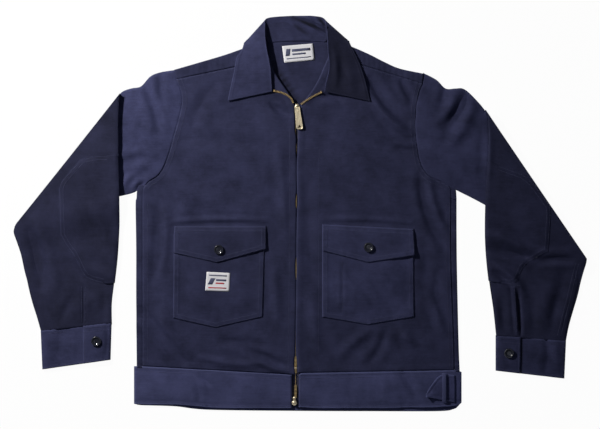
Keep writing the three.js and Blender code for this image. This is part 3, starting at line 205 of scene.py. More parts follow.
# Sleeve sections: inner end, outer end, share of the armhole's curve, turn over the fold, bulge.
SLEEVE_LEFT = np.array([
    (-221.5, 251, -275, 46, 1, 0, 0.5), (-246, 247, -284, 41, 0.85, 0, 0.9),
    (-263, 240, -296, 35, 0.6, 0, 1), (-279, 223, -330, 27, 0.4, 0, 1),
    (-295, 219.5, -385, 13, 0.2, 0, 0.9), (-307, 216, -448, -5, 0.05, 0, 0.5),
    (-314, 212, -490, -16, 0, 0, 0.15), (-316, 209, -501, -20, 0, 0.25, 0),
    (-316, 209, -501, -20, 0, 0.5, 0), (-316, 209, -501, -20, 0, 0.75, 0),
    (-316, 207, -499, -22, 0, 1, 0.1), (-318, 172, -501, -33, 0, 1, 0.35),
    (-318, 130, -496, -50, 0, 1, 0.6), (-318, 86, -490, -70, 0, 1, 0.8),
    (-317, 41, -486, -88, 0, 1, 0.9), (-317, 6, -483, -102, 0, 1, 1), (-318, -30, -479, -117, 0, 1, 1),
    (-321, -78, -475, -135, 0, 1, 1), (-326, -122, -469, -158, 0, 1, 0.9),
    (-330, -157, -462, -180, 0, 1, 0.75), (-330, -190.5, -455, -204.5, 0, 1, 0.6),
], float)
SLEEVE_RIGHT = np.array([
    (217, 245, 262, 46, 1, 0, 0.5), (238, 234, 280, 37, 0.85, 0, 0.9), (254, 219, 306, 24, 0.6, 0, 1),
    (271, 219, 343, 4, 0.4, 0, 1), (284, 219, 393, -22, 0.2, 0, 0.9), (297, 210, 447, -50, 0.05, 0, 0.5),
    (316, 190, 490, -70, 0, 0, 0.15), (324, 181, 500, -76, 0, 0.25, 0), (324, 181, 500, -76, 0, 0.5, 0),
    (324, 181, 500, -76, 0, 0.75, 0), (324, 178, 500, -79, 0, 1, 0.1), (327, 145, 499, -87, 0, 1, 0.35),
    (327, 105, 496, -98, 0, 1, 0.6), (325, 60, 493, -110, 0, 1, 0.8), (323, 18, 490, -123, 0, 1, 0.9),
    (323, -22, 487, -137, 0, 1, 1), (325, -70, 483, -152, 0, 1, 1), (330, -118, 477, -172, 0, 1, 0.9),
    (337, -166, 470, -197, 0, 1, 0.75), (342, -212.5, 465, -222.5, 0, 1, 0.6),
], float)
# Elbow patches as lines down the sleeve: start and stop along the sections, and place round the
# tube at both ends.
PATCH_LEFT = np.array([
    (12.65, -0.09, 18, -0.09), (12.65, -0.03, 18, -0.03), (12.65, 0, 18, 0), (12.5, 0.03, 18, 0.03),
    (12.3, 0.09, 17.95, 0.09), (11.9, 0.18, 17.8, 0.18), (11.5, 0.27, 17.6, 0.28),
    (11.12, 0.36, 17.3, 0.38), (11.12, 0.45, 16.3, 0.47), (11.14, 0.53, 15.1, 0.56),
    (11.3, 0.57, 14, 0.61),
], float)
PATCH_RIGHT = np.array([
    (12.33, -0.09, 17, -0.09), (12.33, -0.03, 17, -0.03), (12.33, 0, 17, 0), (12.2, 0.03, 17, 0.03),
    (12.05, 0.09, 16.95, 0.09), (11.7, 0.18, 16.9, 0.18), (11.3, 0.27, 16.8, 0.27),
    (10.7, 0.365, 16.5, 0.345), (10.35, 0.45, 15.6, 0.42), (10.2, 0.53, 14.9, 0.53),
    (10.15, 0.6, 14.2, 0.6), (10.15, 0.635, 13.7, 0.65),
], float)

# Collar sections: neck seam, roll line, free edge of the fall.
COLLAR = np.array([
    (-59, 216, 8.6, -50, 213, 11.5, -127, 197, 8.6), (-62, 232, 8.6, -51, 232, 13, -123, 218, 8.4),
    (-63, 256, 8.6, -53, 257, 14.5, -117, 245, 8), (-66, 284, 7.6, -59, 288, 14.5, -112, 272, 7.8),
    (-67, 303, 4.8, -62, 312, 12.5, -104, 284, 7.6), (-63, 309, 4.2, -62, 328, 9, -101, 290, 6),
    (-60, 308, 3.2, -62, 338, 5, -99.5, 295.5, 2.6), (-56, 299.9, 2.1, -57, 342, 3, -95, 301, 0.7),
    (-46, 300.3, 1.9, -44, 344, 3, -60, 308, 0.65), (-20, 301.8, 1.9, -20, 345.5, 3, -20, 309, 0.65),
    (10, 302, 1.9, 10, 346, 3, 12, 309, 0.65), (34, 301, 1.9, 34, 344, 3, 50, 308, 0.65),
    (44, 300.9, 2.1, 42, 340, 4, 82, 303, 0.7), (47, 307, 3.2, 44, 335, 6, 86, 298.5, 2.6),
    (52, 307, 4.2, 46, 322, 9, 88, 294, 6.4), (57, 302, 4.8, 47, 308, 12.5, 92, 286, 9.4),
    (59, 284, 7.6, 48, 285, 14.5, 103, 262, 10.2), (60, 258, 8.6, 50, 254, 14, 112, 236, 10.2),
    (54, 232, 8.6, 45, 230, 12.5, 118, 213, 10), (52, 218, 8.6, 42, 213, 11.5, 122, 196, 9.4),
], float)

# Waistband sections round the body: x, turn to the underside, drop below the seam, hem, height.
BAND = np.array([
    (-15, 0, 0, -341, 6.2), (-60, 0, 0, -341, 5.6), (-95, 0, 0, -341, 6.6), (-130, 0, 0, -341, 5.2),
    (-160, 0, 0, -340, 4.2), (-178, 0, 0, -338, 5.6), (-215, 0, 0, -335, 5), (-250, 0, 0, -335, 4.6),
    (-279, 0, 0.4, -334.5, 4.2), (-288, 0, 0.4, -334, 3.4), (-291, 0.5, 0.4, -333.5, 2.2),
    (-288, 1, 0.4, -334, 1), (-279, 1, 0, -336, 0.8), (-220, 1, 0, -338, 0.8), (-160, 1, 0, -344, 0.8),
    (0, 1, 0, -346, 0.8), (120, 1, 0, -346.5, 0.8), (240, 1, 0, -346.5, 0.8), (268, 1, 0, -343, 0.8),
    (277, 1, 1.5, -337, 0.9), (281.5, 0.5, 3.5, -331, 2.3), (278.5, 0, 3, -334, 3.7),
    (268, 0, 0, -337, 4.6), (245, 0, 0, -339, 5), (215, 0, 0, -340, 5.2), (186, 0, 0, -340, 3.8),
    (160, 0, 0, -341, 5.6), (120, 0, 0, -341, 5.4), (70, 0, 0, -341, 5.8), (30, 0, 0, -341, 5.8),
    (-3, 0, 0, -339, 6.2),
], float)
BAND_FOLDS = [
    (-176, -283, -160, -300, 0, -2.6, 5), (-181, -302, -176, -330, 0, -1.9, 6),
    (174, -279, 203, -320, 4, -3.0, 7), (140, -290, 150, -335, 0, 0.9, 9),
    (-240, -285, -225, -325, 0, 0.7, 12), (90, -285, 84, -330, 0, -0.7, 9),
    (-120, -290, -110, -330, 0, 0.6, 14), (60, -290, 66, -330, 0, 0.5, 14),
    (-40, -285, -30, -335, 0, 0.5, 10),
]

# Pockets and flaps: top corners, bottom corners, point.
POCKETS = {
    "left": ((-222, -36), (-62, -36), (-223, -183), (-66, -181), (-148, -200)),
    "right": ((38, -36), (198, -41), (38, -181), (199, -181), (118, -195)),
}
FLAPS = {
    "left": ((-221, -22), (-60, -22), (-222, -69), (-60, -62), (-146, -86)),
    "right": ((38, -19), (198, -27), (38, -65), (200, -73), (119, -86)),
}
FLAP_BUTTONS = {"left": (-143, -63), "right": (119, -59)}
CUFF_BUTTONS = {"left": (-357, -223), "right": (364, -244)}
# Cuffs: the near and the far edge from top to hem, and the shares across, from the far edge, at
# which the band ends above and below.
CUFFS = {
    "left": {
        "near": ((-331, -191.2), (-333, -256)), "far": ((-455, -205.2), (-452, -273)),
        "free": 0.6, "under": 0.85,
    },
    "right": {
        "near": ((342, -213.2), (342, -275)), "far": ((465, -223.2), (462, -289)),
        "free": 0.65, "under": 0.88,
    },
}
TEETH = {
    "left": [(-12.5, 193), (-16, 201), (-23, 207), (-33, 211.5), (-44, 214)],
    "right": [(0.5, 190.5), (8, 196.5), (22, 205), (34, 211)],
}
# Side strap: x, upper edge, lower edge, height over the band.
STRAP = np.array([
    (219, -316, -321, 1.9), (229, -300, -322, 1.9), (243, -284, -325, 1.7), (256, -282, -328, 1.7),
    (270, -283, -331, 1.6),
])
# The strap's loop: its two sides, and its way over the strap as y and height over the band.
LOOP_SIDES = (247.6, 254.4)
LOOP_PROFILE = [(-280, 0.4), (-281, 3.2), (-300, 4.2), (-326, 3.6), (-329, 0.4)]
SIDES = ("left", "right")
FRONTS = {"left": FRONT_LEFT, "right": FRONT_RIGHT}


# Small help with numbers and points.
def lerp(a, b, t):
    return a + (b - a) * t


def ease(t):
    t = np.clip(t, 0, 1)
    return t * t * (3 - 2 * t)


def bell(d, wide=1.0):
    """One at d = 0, fading on both sides over a width."""
    return np.exp(-((d / wide) ** 2))


def grid_of(x, y, z):
    """Points from coordinates, each of which may be given for the rows or the columns alone."""
    return np.stack(np.broadcast_arrays(x, y, z), -1)


def at_rows(table, position):
    """Rows of a table at fractional positions, on a curve through its rows."""
    table = np.asarray(table, float)
    last = len(table) - 1
    position = np.clip(np.atleast_1d(np.asarray(position, float)), 0, last)
    i = np.minimum(position.astype(int), last - 1)
    t = (position - i)[:, None]
    a, b = table[i], table[i + 1]
    before = np.where((i > 0)[:, None], table[np.maximum(i - 1, 0)], 2 * a - b)
    after = np.where((i + 1 < last)[:, None], table[np.minimum(i + 2, last)], 2 * b - a)
    bend = 2 * before - 5 * a + 4 * b - after + t * (3 * (a - b) + after - before)
    return a + 0.5 * t * (b - before + t * bend)


def positions(table, step, columns):
    """Fractional positions along a table, spaced by a step measured over some of its columns."""
    out = [0.0]
    for i in range(1, len(table)):
        gap = max(math.dist(table[i - 1][list(c)], table[i][list(c)]) for c in columns)
        count = max(1, math.ceil(gap / step))
        out += [i - 1 + k / count for k in range(1, count + 1)]
    return np.array(out)


def fold_rise(folds, x, y, width_share=1.0):
    """The rise of soft folds, each an arc that fades out at both ends."""
    total = 0.0 * (x + y)
    for x0, y0, x1, y1, bow, rise, full_wide in folds:
        wide = full_wide * width_share
        long = math.hypot(x1 - x0, y1 - y0)
        ux, uy = (x1 - x0) / long, (y1 - y0) / long
        along = ((x - x0) * ux + (y - y0) * uy) / long
        side = -(x - x0) * uy + (y - y0) * ux
        t = np.clip(along, 0, 1)
        arc = side - bow * 4 * t * (1 - t)
        fade = np.sin(np.pi * (0.08 + 0.84 * t)) ** 0.7 * bell((along - t) * long, 0.8 * wide)
        crease = np.exp(-(np.abs(arc / wide) ** 1.6))
        shoulder = bell(arc + 1.7 * wide, wide) + 0.6 * bell(arc - 1.8 * wide, wide)
        total += rise * fade * (crease - 0.5 * shoulder)
    return total


def ripple(x, y, seed=0.0):
    """Slow uneven swell of lying cloth, with a little finer crumple."""
    slow = 1.5 * (
        np.sin(x / 31 + 1.7 * np.sin(y / 47 + seed)) * np.sin(y / 38 + 0.6 + seed)
        + 0.6 * np.sin((x + y) / 23 + seed * 2.1 + np.sin(x / 29))
    )
    fine = np.sin((x * 0.8 - y) / 7.3 + 2 * np.sin(x / 19 + seed)) * np.sin((x + 0.6 * y) / 9.1 + seed)
    return 0.42 * slow + 0.1 * fine


def to_line(x, y, points):
    """Distance to a line of points, and how far along it the nearest place is."""
    best = np.full(np.shape(x), 1e9)
    run = np.zeros(np.shape(x))
    length = 0.0
    for (ax, ay), (bx, by) in zip(points[:-1], points[1:]):
        dx, dy = bx - ax, by - ay
        long = max(math.hypot(dx, dy), 1e-6)
        t = np.clip(((x - ax) * dx + (y - ay) * dy) / long ** 2, 0, 1)
        d = np.hypot(x - ax - t * dx, y - ay - t * dy)
        run = np.where(d < best, length + t * long, run)
        best = np.minimum(best, d)
        length += long
    return best, run


def seam_relief(x, y, line, band=11.0, lift=0.45, pucker=0.26):
    """A stitched seam: the layers beneath lift a band beside it, and the cloth puckers along it."""
    d, run = to_line(x, y, line)
    edge = lift * (1 - ease((d - band) / 3.5)) * ease(d / 1.5)
    waves = pucker * np.sin(run / 1.55 + 1.3 * np.sin(run / 17)) * np.exp(-d / 7)
    return edge + waves - 0.8 * lift * bell(d, 1.6)


def front_height(x, y):
    """The top of the fronts, without their seams."""
    middle = ease((SIDE_X - np.abs(x)) / (SIDE_X - FULL_X))
    swell = ripple(x, y) * ease((SIDE_X + 6 - np.abs(x)) / 40)
    opening = OPENING_LIFT * np.exp(-np.abs(x + 4) / 34) * ease((y - 186) / 40)
    folds = FRONT_FOLD_GAIN * fold_rise(FRONT_FOLDS, x, y, FRONT_FOLD_WIDTH)
    z = lerp(SIDE_TOP, CENTRE_TOP, middle) + folds + swell + opening
    return np.maximum(z, LOWEST_TOP + 0.15 * (z - LOWEST_TOP))


# Stitched seams of the fronts: the line, the width of the lifted band beside it, and its lift.
SEAM_LINES = [
    ([tuple(r[:2]) for r in FRONT_LEFT[:11]], 9, 0.35),
    ([tuple(r[:2]) for r in FRONT_RIGHT[:11]], 9, 0.35),
    ([(-277, 20), (-277, -267)], 9, 0.15),
    ([(264, 20), (264, -81), (269, -221), (270, -274)], 9, 0.15),
    ([(-218, 235), (-176, 244.5), (-132, 253.6), (-97, 260.5), (-64, 267.4)], 7, 0.3),
    ([(214, 228), (174, 240.5), (118, 257.4), (58, 275.6)], 7, 0.3),
    ([(-277, -267), (-13, -282)], 8, 0.5),
    ([(270, -274), (-6, -279)], 8, 0.5),
]


def front_top(x, y):
    z = front_height(x, y)
    for line, band, lift in SEAM_LINES:
        z = z + seam_relief(x, y, line, band, lift)
    return z


# Meshes.
def put(points):
    return (np.asarray(points, float) + SHIFT) / 1000


def grid_faces(rows, cols, offset=0, closed=False, flip=False):
    """Quads between the points of a grid; a closed one joins its last column to its first."""
    r, c = np.meshgrid(np.arange(rows - 1), np.arange(cols if closed else cols - 1), indexing="ij")
    here, below = r * cols, (r + 1) * cols
    n = (c + 1) % cols
    quads = np.stack([here + c, here + n, below + n, below + c], -1).reshape(-1, 4)
    return (quads[:, ::-1] if flip else quads) + offset


def wall_faces(rows, cols, closed):
    """Faces of a wall between a lower and an upper grid, with its rims."""
    size = rows * cols
    upper = grid_faces(rows, cols, size, closed)
    lower = grid_faces(rows, cols, 0, closed, flip=True)
    c = np.arange(cols if closed else cols - 1)
    n = (c + 1) % cols
    last = (rows - 1) * cols
    rims = [
        np.stack([c, n, n + size, c + size], -1),
        np.stack([last + c + size, last + n + size, last + n, last + c], -1),
    ]
    if not closed:
        r = np.arange(rows - 1) * cols
        end = r + cols - 1
        rims += [
            np.stack([r + size, r + cols + size, r + cols, r], -1),
            np.stack([end, end + cols, end + cols + size, end + size], -1),
        ]
    return np.concatenate([upper, lower, *rims])


def shaded(shades, x, y):
    """Painted shade: how much of its painted light the cloth keeps near lines where shade falls."""
    return np.clip(1 + fold_rise(shades, x, y), 0.2, 1.1)


def add_values(mesh, name, values):
    """Values at the points for the materials to read, one for all or one for each."""
    values = np.zeros(len(mesh.vertices)) + np.asarray(values).reshape(-1)
    layer = mesh.attributes.new(name, "FLOAT", "POINT")
    layer.data.foreach_set("value", values.astype(np.float32))


def new_mesh(name, points, faces, material, smooth=True, wear_and_highlight=None, tone=1.0):
    """A mesh object whose faces look outwards."""
    points = put(points)
    faces = np.asarray(faces)
    tri = points[faces[:, :3]]
    far = points[faces[:, -1]]
    volume = np.einsum("ij,ij->i", tri[:, 0], np.cross(tri[:, 1], tri[:, 2])).sum()
    if faces.shape[1] == 4:
        volume += np.einsum("ij,ij->i", tri[:, 0], np.cross(tri[:, 2], far)).sum()
    if volume < 0:
        faces = faces[:, ::-1]
    mesh = bpy.data.meshes.new(name)
    mesh.from_pydata(points.tolist(), [], faces.tolist())
    mesh.materials.append(material)
    mesh.polygons.foreach_set("use_smooth", np.full(len(mesh.polygons), smooth))
    # Values for the material: rubbing with a painted highlight, and painted light and shade that scales
    # the colour.
    if wear_and_highlight is not None:
        add_values(mesh, "wear_and_highlight", wear_and_highlight)
    add_values(mesh, "painted_light", tone)
    mesh.update()
    obj = bpy.data.objects.new(name, mesh)
    bpy.context.scene.collection.objects.link(obj)
    return obj


def wall(name, lower, upper, material, closed=False, wear_and_highlight=None, tone=1.0):
    """A solid between a lower and an upper grid."""
    rows, cols = upper.shape[:2]
    points = np.concatenate([lower.reshape(-1, 3), upper.reshape(-1, 3)])
    # Both faces carry the rubbing-with-highlight value and the painted light and shade.
    both = None if wear_and_highlight is None else np.tile(wear_and_highlight.reshape(-1), 2)
    painted_light = np.tile((np.zeros((rows, cols)) + tone).reshape(-1), 2)
    return new_mesh(name, points, wall_faces(rows, cols, closed), material, wear_and_highlight=both, tone=painted_light)


def normals_of(grid):
    down = np.gradient(grid, axis=0)
    across = np.gradient(grid, axis=1)
    n = np.cross(across, down)
    return n / np.maximum(np.linalg.norm(n, axis=2, keepdims=True), 1e-9)


def sheet(name, middle, thickness, material, wear_and_highlight=None, tone=1.0):
    """A solid of even thickness round a middle grid."""
    half = normals_of(middle) * thickness / 2
    return wall(name, middle - half, middle + half, material, wear_and_highlight=wear_and_highlight, tone=tone)


def finish_piece(obj, body, slot, *nodes):
    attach(obj, body)
    if nodes:
        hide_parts(*nodes)
    return obj


def cloth_piece(obj, nodes=()):
    finish_piece(obj, "jacket", "navy_twill", *nodes)


# Materials.
def new_material(name):
    material = bpy.data.materials.new(name)
    material.use_nodes = True
    return material, material.node_tree.nodes["Principled BSDF"]


def fill_inputs(material, node, values, links):
    """Sets constants on a node's inputs and links outputs of other nodes to the rest."""
    for socket, value in dict(values).items():
        node.inputs[socket].default_value = value
    for socket, source in dict(links).items():
        material.node_tree.links.new(source, node.inputs[socket])


def add_node(material, kind, values=(), links=(), **settings):
    node = material.node_tree.nodes.new("ShaderNode" + kind)
    for key, value in settings.items():
        setattr(node, key, value)
    fill_inputs(material, node, values, links)
    return node


def twill_material(name, dark, light, worn_and_lit, angle=math.radians(52)):
    """Twill: fine diagonal ribs, uneven dye, paler edges where the value for rubbing with a painted
    highlight is high, and the colour scaled by a painted light and shade value.
    """
    material, shader = new_material(name)
    add = partial(add_node, material)
    mix = partial(add_node, material, "Mix", data_type="RGBA")
    place = add("TexCoord").outputs["Object"]
    turned = add("Mapping", {"Rotation": (0, 0, angle)}, {"Vector": place})
    rib_values = {"Scale": 420, "Distortion": 0.6, "Detail": 1, "Detail Scale": 2}
    ribs = add("TexWave", rib_values, {"Vector": turned.outputs["Vector"]})
    yarn = add("TexNoise", {"Scale": 380, "Detail": 4, "Roughness": 0.7}, {"Vector": place})
    dye = add("TexNoise", {"Scale": 22, "Detail": 9, "Roughness": 0.72}, {"Vector": place})
    stretched = add("Mapping", {"Scale": (1, 13, 1)}, {"Vector": place})
    slub_values = {"Scale": 40, "Detail": 5, "Roughness": 0.65}
    slub = add("TexNoise", slub_values, {"Vector": stretched.outputs["Vector"]})
    both = {0: slub.outputs["Fac"], 2: dye.outputs["Fac"]}
    uneven = add("Math", {1: 0.3}, both, operation="MULTIPLY_ADD")
    spread_values = {"From Min": 0.45, "From Max": 0.85}
    spread = add("MapRange", spread_values, {"Value": uneven.outputs["Value"]})
    tone = mix({"A": (*dark, 1), "B": (*light, 1)}, {"Factor": spread.outputs["Result"]})
    ribbed = {"A": tone.outputs["Result"], "B": ribs.outputs["Color"]}
    thread = mix({"Factor": 0.45}, ribbed, blend_type="MULTIPLY")
    # Rubbing of edges and seams, with a painted highlight where raised edges catch the light.
    wear_and_highlight = add("Attribute", attribute_name="wear_and_highlight").outputs["Fac"]
    rubbed_and_lit = mix({"B": (*worn_and_lit, 1)}, {"A": thread.outputs["Result"], "Factor": wear_and_highlight})
    # Painted light and shade: scales the colour for the way the light falls on each piece.
    painted_light = add("Attribute", attribute_name="painted_light").outputs["Fac"]
    painted_lit_colour = add("VectorMath", (), {0: rubbed_and_lit.outputs["Result"], "Scale": painted_light}, operation="SCALE")
    relief = {0: yarn.outputs["Fac"], 2: ribs.outputs["Fac"]}
    height = add("Math", {1: 0.5}, relief, operation="MULTIPLY_ADD").outputs["Value"]
    bump = add("Bump", {"Strength": 0.22, "Distance": 0.0002}, {"Height": height})
    surface = {
        "Roughness": 0.82, "Specular IOR Level": 0.16, "Sheen Weight": 0.12,
        "Sheen Roughness": 0.45, "Sheen Tint": (0.4, 0.46, 1, 1),
    }
    sources = {"Base Color": painted_lit_colour.outputs["Vector"], "Normal": bump.outputs["Normal"]}
    fill_inputs(material, shader, surface, sources)
    return material


def noisy_material(name, dark, light, scale, roughness, metallic=0.0, bump_depth=0.1, coat=0.0):
    """A material whose colour and height vary a little with noise."""
    material, shader = new_material(name)
    add = partial(add_node, material)
    place = add("TexCoord").outputs["Object"]
    noise = add("TexNoise", {"Scale": scale, "Detail": 4}, {"Vector": place}).outputs["Fac"]
    tone = add("Mix", {"A": (*dark, 1), "B": (*light, 1)}, {"Factor": noise}, data_type="RGBA")
    bump = add("Bump", {"Strength": bump_depth, "Distance": 0.0001}, {"Height": noise})
    surface = {"Roughness": roughness, "Metallic": metallic, "Coat Weight": coat}
    sources = {"Base Color": tone.outputs["Result"], "Normal": bump.outputs["Normal"]}
    fill_inputs(material, shader, surface, sources)
    return material


NAVY_DARK = (0.0188, 0.0215, 0.0555)
NAVY_LIGHT = (0.0465, 0.051, 0.123)
# The paler navy of edges and seams: rubbing, and a painted highlight on raised edges.
NAVY_WORN_AND_LIT = (0.088, 0.1, 0.21)
navy = twill_material("navy_twill", NAVY_DARK, NAVY_LIGHT, NAVY_WORN_AND_LIT)
thread_mat = noisy_material("navy_thread", (0.036, 0.041, 0.1), (0.055, 0.062, 0.145), 600, 0.6)
tape_mat = noisy_material("zip_tape", (0.02, 0.022, 0.05), (0.032, 0.035, 0.075), 900, 0.8, bump_depth=0.3)
brass = noisy_material("brass", (0.78, 0.54, 0.22), (0.95, 0.72, 0.36), 300, 0.4, metallic=0.8)
pale_brass = noisy_material("pale_brass", (0.88, 0.74, 0.48), (0.98, 0.87, 0.64), 250, 0.34, metallic=0.6)
button_mat = noisy_material("button", (0.008, 0.009, 0.016), (0.018, 0.02, 0.032), 120, 0.24, coat=1.0)
label_mat = noisy_material("label", (0.74, 0.74, 0.78), (0.86, 0.86, 0.9), 700, 0.7, bump_depth=0.4)
print_mat = noisy_material("label_print", (0.05, 0.06, 0.12), (0.09, 0.1, 0.18), 800, 0.75)
red_mat = noisy_material("label_red", (0.42, 0.03, 0.04), (0.55, 0.06, 0.07), 800, 0.75)


# Fronts.
def front_wear_and_highlight(x, y):
    """How pale the cloth is painted, highest on its stitched seams: rubbing, with a painted highlight
    along them.
    """
    value = np.zeros_like(x)
    for line, _, lift in SEAM_LINES:
        d, run = to_line(x, y, line)
        value = np.maximum(value, 0.5 * lift * bell(d, 2.2) * (0.75 + 0.25 * np.sin(run / 3.1)))
    return value


# Stretches of the zip that show between the fronts: lowest and highest y, and how wide.
ZIP_SHOWS = [(97, 128, 0.9), (8, 36, 1.9), (-117, -75, 1.6), (-281, -249, 2.2), (-324, -300, 2.4)]


def zip_shown(y):
    """How far the fronts part over the zip."""
    shown = 0.0 * y
    for low, high, wide in ZIP_SHOWS:
        middle, half = (low + high) / 2, (high - low) / 2
        shown = np.maximum(shown, wide * np.clip(1 - ((y - middle) / half) ** 2, 0, 1) ** 0.5)
    return shown


def zip_edge_shift(y, side):
    """How far a front's inner edge lies beyond its place in the table, towards +X."""
    shown = zip_shown(y)
    if side == "left":
        return 3.2 - 0.9 * shown + 0.25 * np.sin(y / 31) + 1.2 * ease((-250 - y) / 30)
    return -0.4 + 0.5 * shown + 0.2 * np.sin(y / 23 + 1)


def front_panel(side, step=2.8, across=96):
    table = FRONTS[side]
    rows = at_rows(table, positions(table, step, ((0, 1), (2, 3))))
    rows[:, 2] += zip_edge_shift(rows[:, 3], side) * ease((150 - rows[:, 3]) / 25)
    t = np.linspace(0, 1, across)[None, :]
    x = lerp(rows[:, 0:1], rows[:, 2:3], t)
    y = lerp(rows[:, 1:2], rows[:, 3:4], t)
    inner = (1 - t) * np.hypot(rows[:, 0:1] - rows[:, 2:3], rows[:, 1:2] - rows[:, 3:4])
    z = front_top(x, y) + 0.5 * (1 - ease((inner - 9) / 3)) - 0.9 * (1 - ease(inner / 1.6))
    upper = grid_of(x, y, z)
    # Rubbing with a painted highlight on the seams and along the inner edge; the front's colour is scaled
    # by its painted light.
    wear_and_highlight = np.maximum(front_wear_and_highlight(x, y), 0.18 * bell(inner, 2.0))
    name = f"front_{side}"
    return wall(f"{name}_twill", upper - [0, 0, CLOTH], upper, navy, wear_and_highlight=wear_and_highlight, tone=PAINTED_LIGHT[name])


cloth_piece(front_panel("left"), ["front_left"])
cloth_piece(front_panel("right"), ["front_right"])


# The back: its flat panel and its four rolled edges, one piece.
def back_plate():
    """The flat panel's lower and upper side, up to a top edge that reaches beneath the collar."""
    armholes = [
        (left[0] - 3, left[1], right[0] + 3, right[1])
        for left, right in zip(FRONT_LEFT[10:0:-1], FRONT_RIGHT[10:0:-1])
    ]
    table = np.concatenate([BACK_SIDES, armholes])
    rows = at_rows(table, positions(table, 9, ((0, 1), (2, 3))))
    count = len(SHOULDER_LINE) - 1
    cols = positions(SHOULDER_LINE, 4, ((0, 1),)) / count
    top = at_rows(SHOULDER_LINE, cols * count)
    top[:, 1] += 6 * ease((top[:, 0] + 66) / 12) * ease((60 - top[:, 0]) / 12)
    top[:, 1] += 16 * bell(top[:, 0] + 70, 11) + 17 * bell(top[:, 0] - 65, 11)
    t = cols[None, :]
    x = lerp(rows[:, 0:1], rows[:, 2:3], t)
    y = lerp(rows[:, 1:2], rows[:, 3:4], t)
    for share in np.linspace(0.1, 1, 10):
        x = np.vstack([x, lerp(x[len(rows) - 1], top[:, 0], share)])
        y = np.vstack([y, lerp(y[len(rows) - 1], top[:, 1], share)])
    edge = np.minimum(ease(t * 20), ease((1 - t) * 20))
    swell = edge * np.maximum(0, 0.5 + 0.8 * ripple(x, y, 2.0))
    swell = swell * ease((y - 150) / 60) * ease((300 - y) / 12)
    return grid_of(x, y, 0.0), grid_of(x, y, CLOTH + swell)


def rolled_edge(table, step=3.0):
    """The middle of the cloth from the back's underside over its edge to the front's seam."""
    rows = at_rows(table, positions(np.array(table, float), step, ((0, 1),)))
    reach = np.hypot(rows[:, 2] - rows[:, 0], rows[:, 3] - rows[:, 1])
    into = (rows[:, 2:4] - rows[:, 0:2]) / reach[:, None]
    seam_z = front_top(rows[:, 2], rows[:, 3]) - CLOTH / 2
    low = CLOTH / 2
    lines = [(WRAP_ROLL + 5.0, low)]
    for a in np.linspace(-math.pi / 2, math.pi / 2, 11):
        d = WRAP_ROLL - (WRAP_ROLL - low) * np.cos(a)
        lines.append((d, low + (seam_z - low) * (0.5 + 0.5 * np.sin(a))))
    for share in np.linspace(0.12, 1, 8):
        d = lerp(WRAP_ROLL, reach, share)
        across = rows[:, 0] + into[:, 0] * d + (rows[:, 1] + into[:, 1] * d)
        swell = 0.12 * np.sin(math.pi * share)
        lines.append((d, seam_z + swell + 0.1 * np.sin(across / 1.7) * share))
    grid = [grid_of(rows[:, 0] + into[:, 0] * d, rows[:, 1] + into[:, 1] * d, z) for d, z in lines]
    return np.stack(grid, 1)


def back_piece():
    lower, upper = back_plate()
    layers = [(lower, upper, np.zeros(upper.shape[:2]))]
    for wrap in WRAPS.values():
        middle = rolled_edge(wrap)
        n = normals_of(middle)
        if n[:, -1, 2].mean() < 0:
            middle, n = middle[::-1], -n[::-1]
        # Rubbing with a painted highlight on part of each rolled edge and at its seam.
        wear_and_highlight = np.zeros(middle.shape[:2])
        wear_and_highlight[:, -1] = 0.06
        wear_and_highlight[:, 3:8] = 0.04
        layers.append((middle - n * CLOTH / 2, middle + n * CLOTH / 2, wear_and_highlight))
    points, faces, wear_and_highlight_parts = [], [], []
    count = 0
    for lower, upper, wear_and_highlight in layers:
        points += [lower.reshape(-1, 3), upper.reshape(-1, 3)]
        faces.append(wall_faces(*wear_and_highlight.shape, False) + count)
        wear_and_highlight_parts += [wear_and_highlight.reshape(-1)] * 2
        count += 2 * wear_and_highlight.size
    points, faces, wear_and_highlight = np.concatenate(points), np.concatenate(faces), np.concatenate(wear_and_highlight_parts)
    # Painted shadow inside the neck, where the left front's edge casts it on the back.
    painted_light = shaded(NECK_SHADES, points[:, 0], points[:, 1])
    return new_mesh("back_twill", points, faces, navy, wear_and_highlight=wear_and_highlight, tone=painted_light)


cloth_piece(back_piece(), ["back"])


# Sleeves.
def armhole_at(first, front, share):
    """Places along the armhole's seam: the shoulder's edge and then the front's own armhole."""
    seam = np.vstack([first[:2], front[:11, :2]])
    return at_rows(seam, share.ravel() * (len(seam) - 1)).reshape(*share.shape, 2)


def tucked(table):
    """A sleeve's table with a section more at each end, a little way inside its seams."""
    first = table[0] + (table[0] - table[1]) * 0.12
    last = table[-1] + (table[-1] - table[-2]) * 0.1
    first[4:], last[4:] = table[0][4:], table[-1][4:]
    return np.vstack([first, table, last])


# Each sleeve's sections, its folds, and the way it points along X. Positions on a patch count one
# section more than in its table, for the one that tucked() puts first.
SLEEVES = {
    "left": (tucked(SLEEVE_LEFT), SLEEVE_LEFT_FOLDS, -1),
    "right": (tucked(SLEEVE_RIGHT), SLEEVE_RIGHT_FOLDS, 1),
}
PATCHES = {"left": PATCH_LEFT + [1, 0, 1, 0], "right": PATCH_RIGHT + [1, 0, 1, 0]}
# What the stitches need later: points on top of the sleeves, and the patches' edges and tops.
SLEEVE_TOPS = {}
PATCH_EDGES = {}


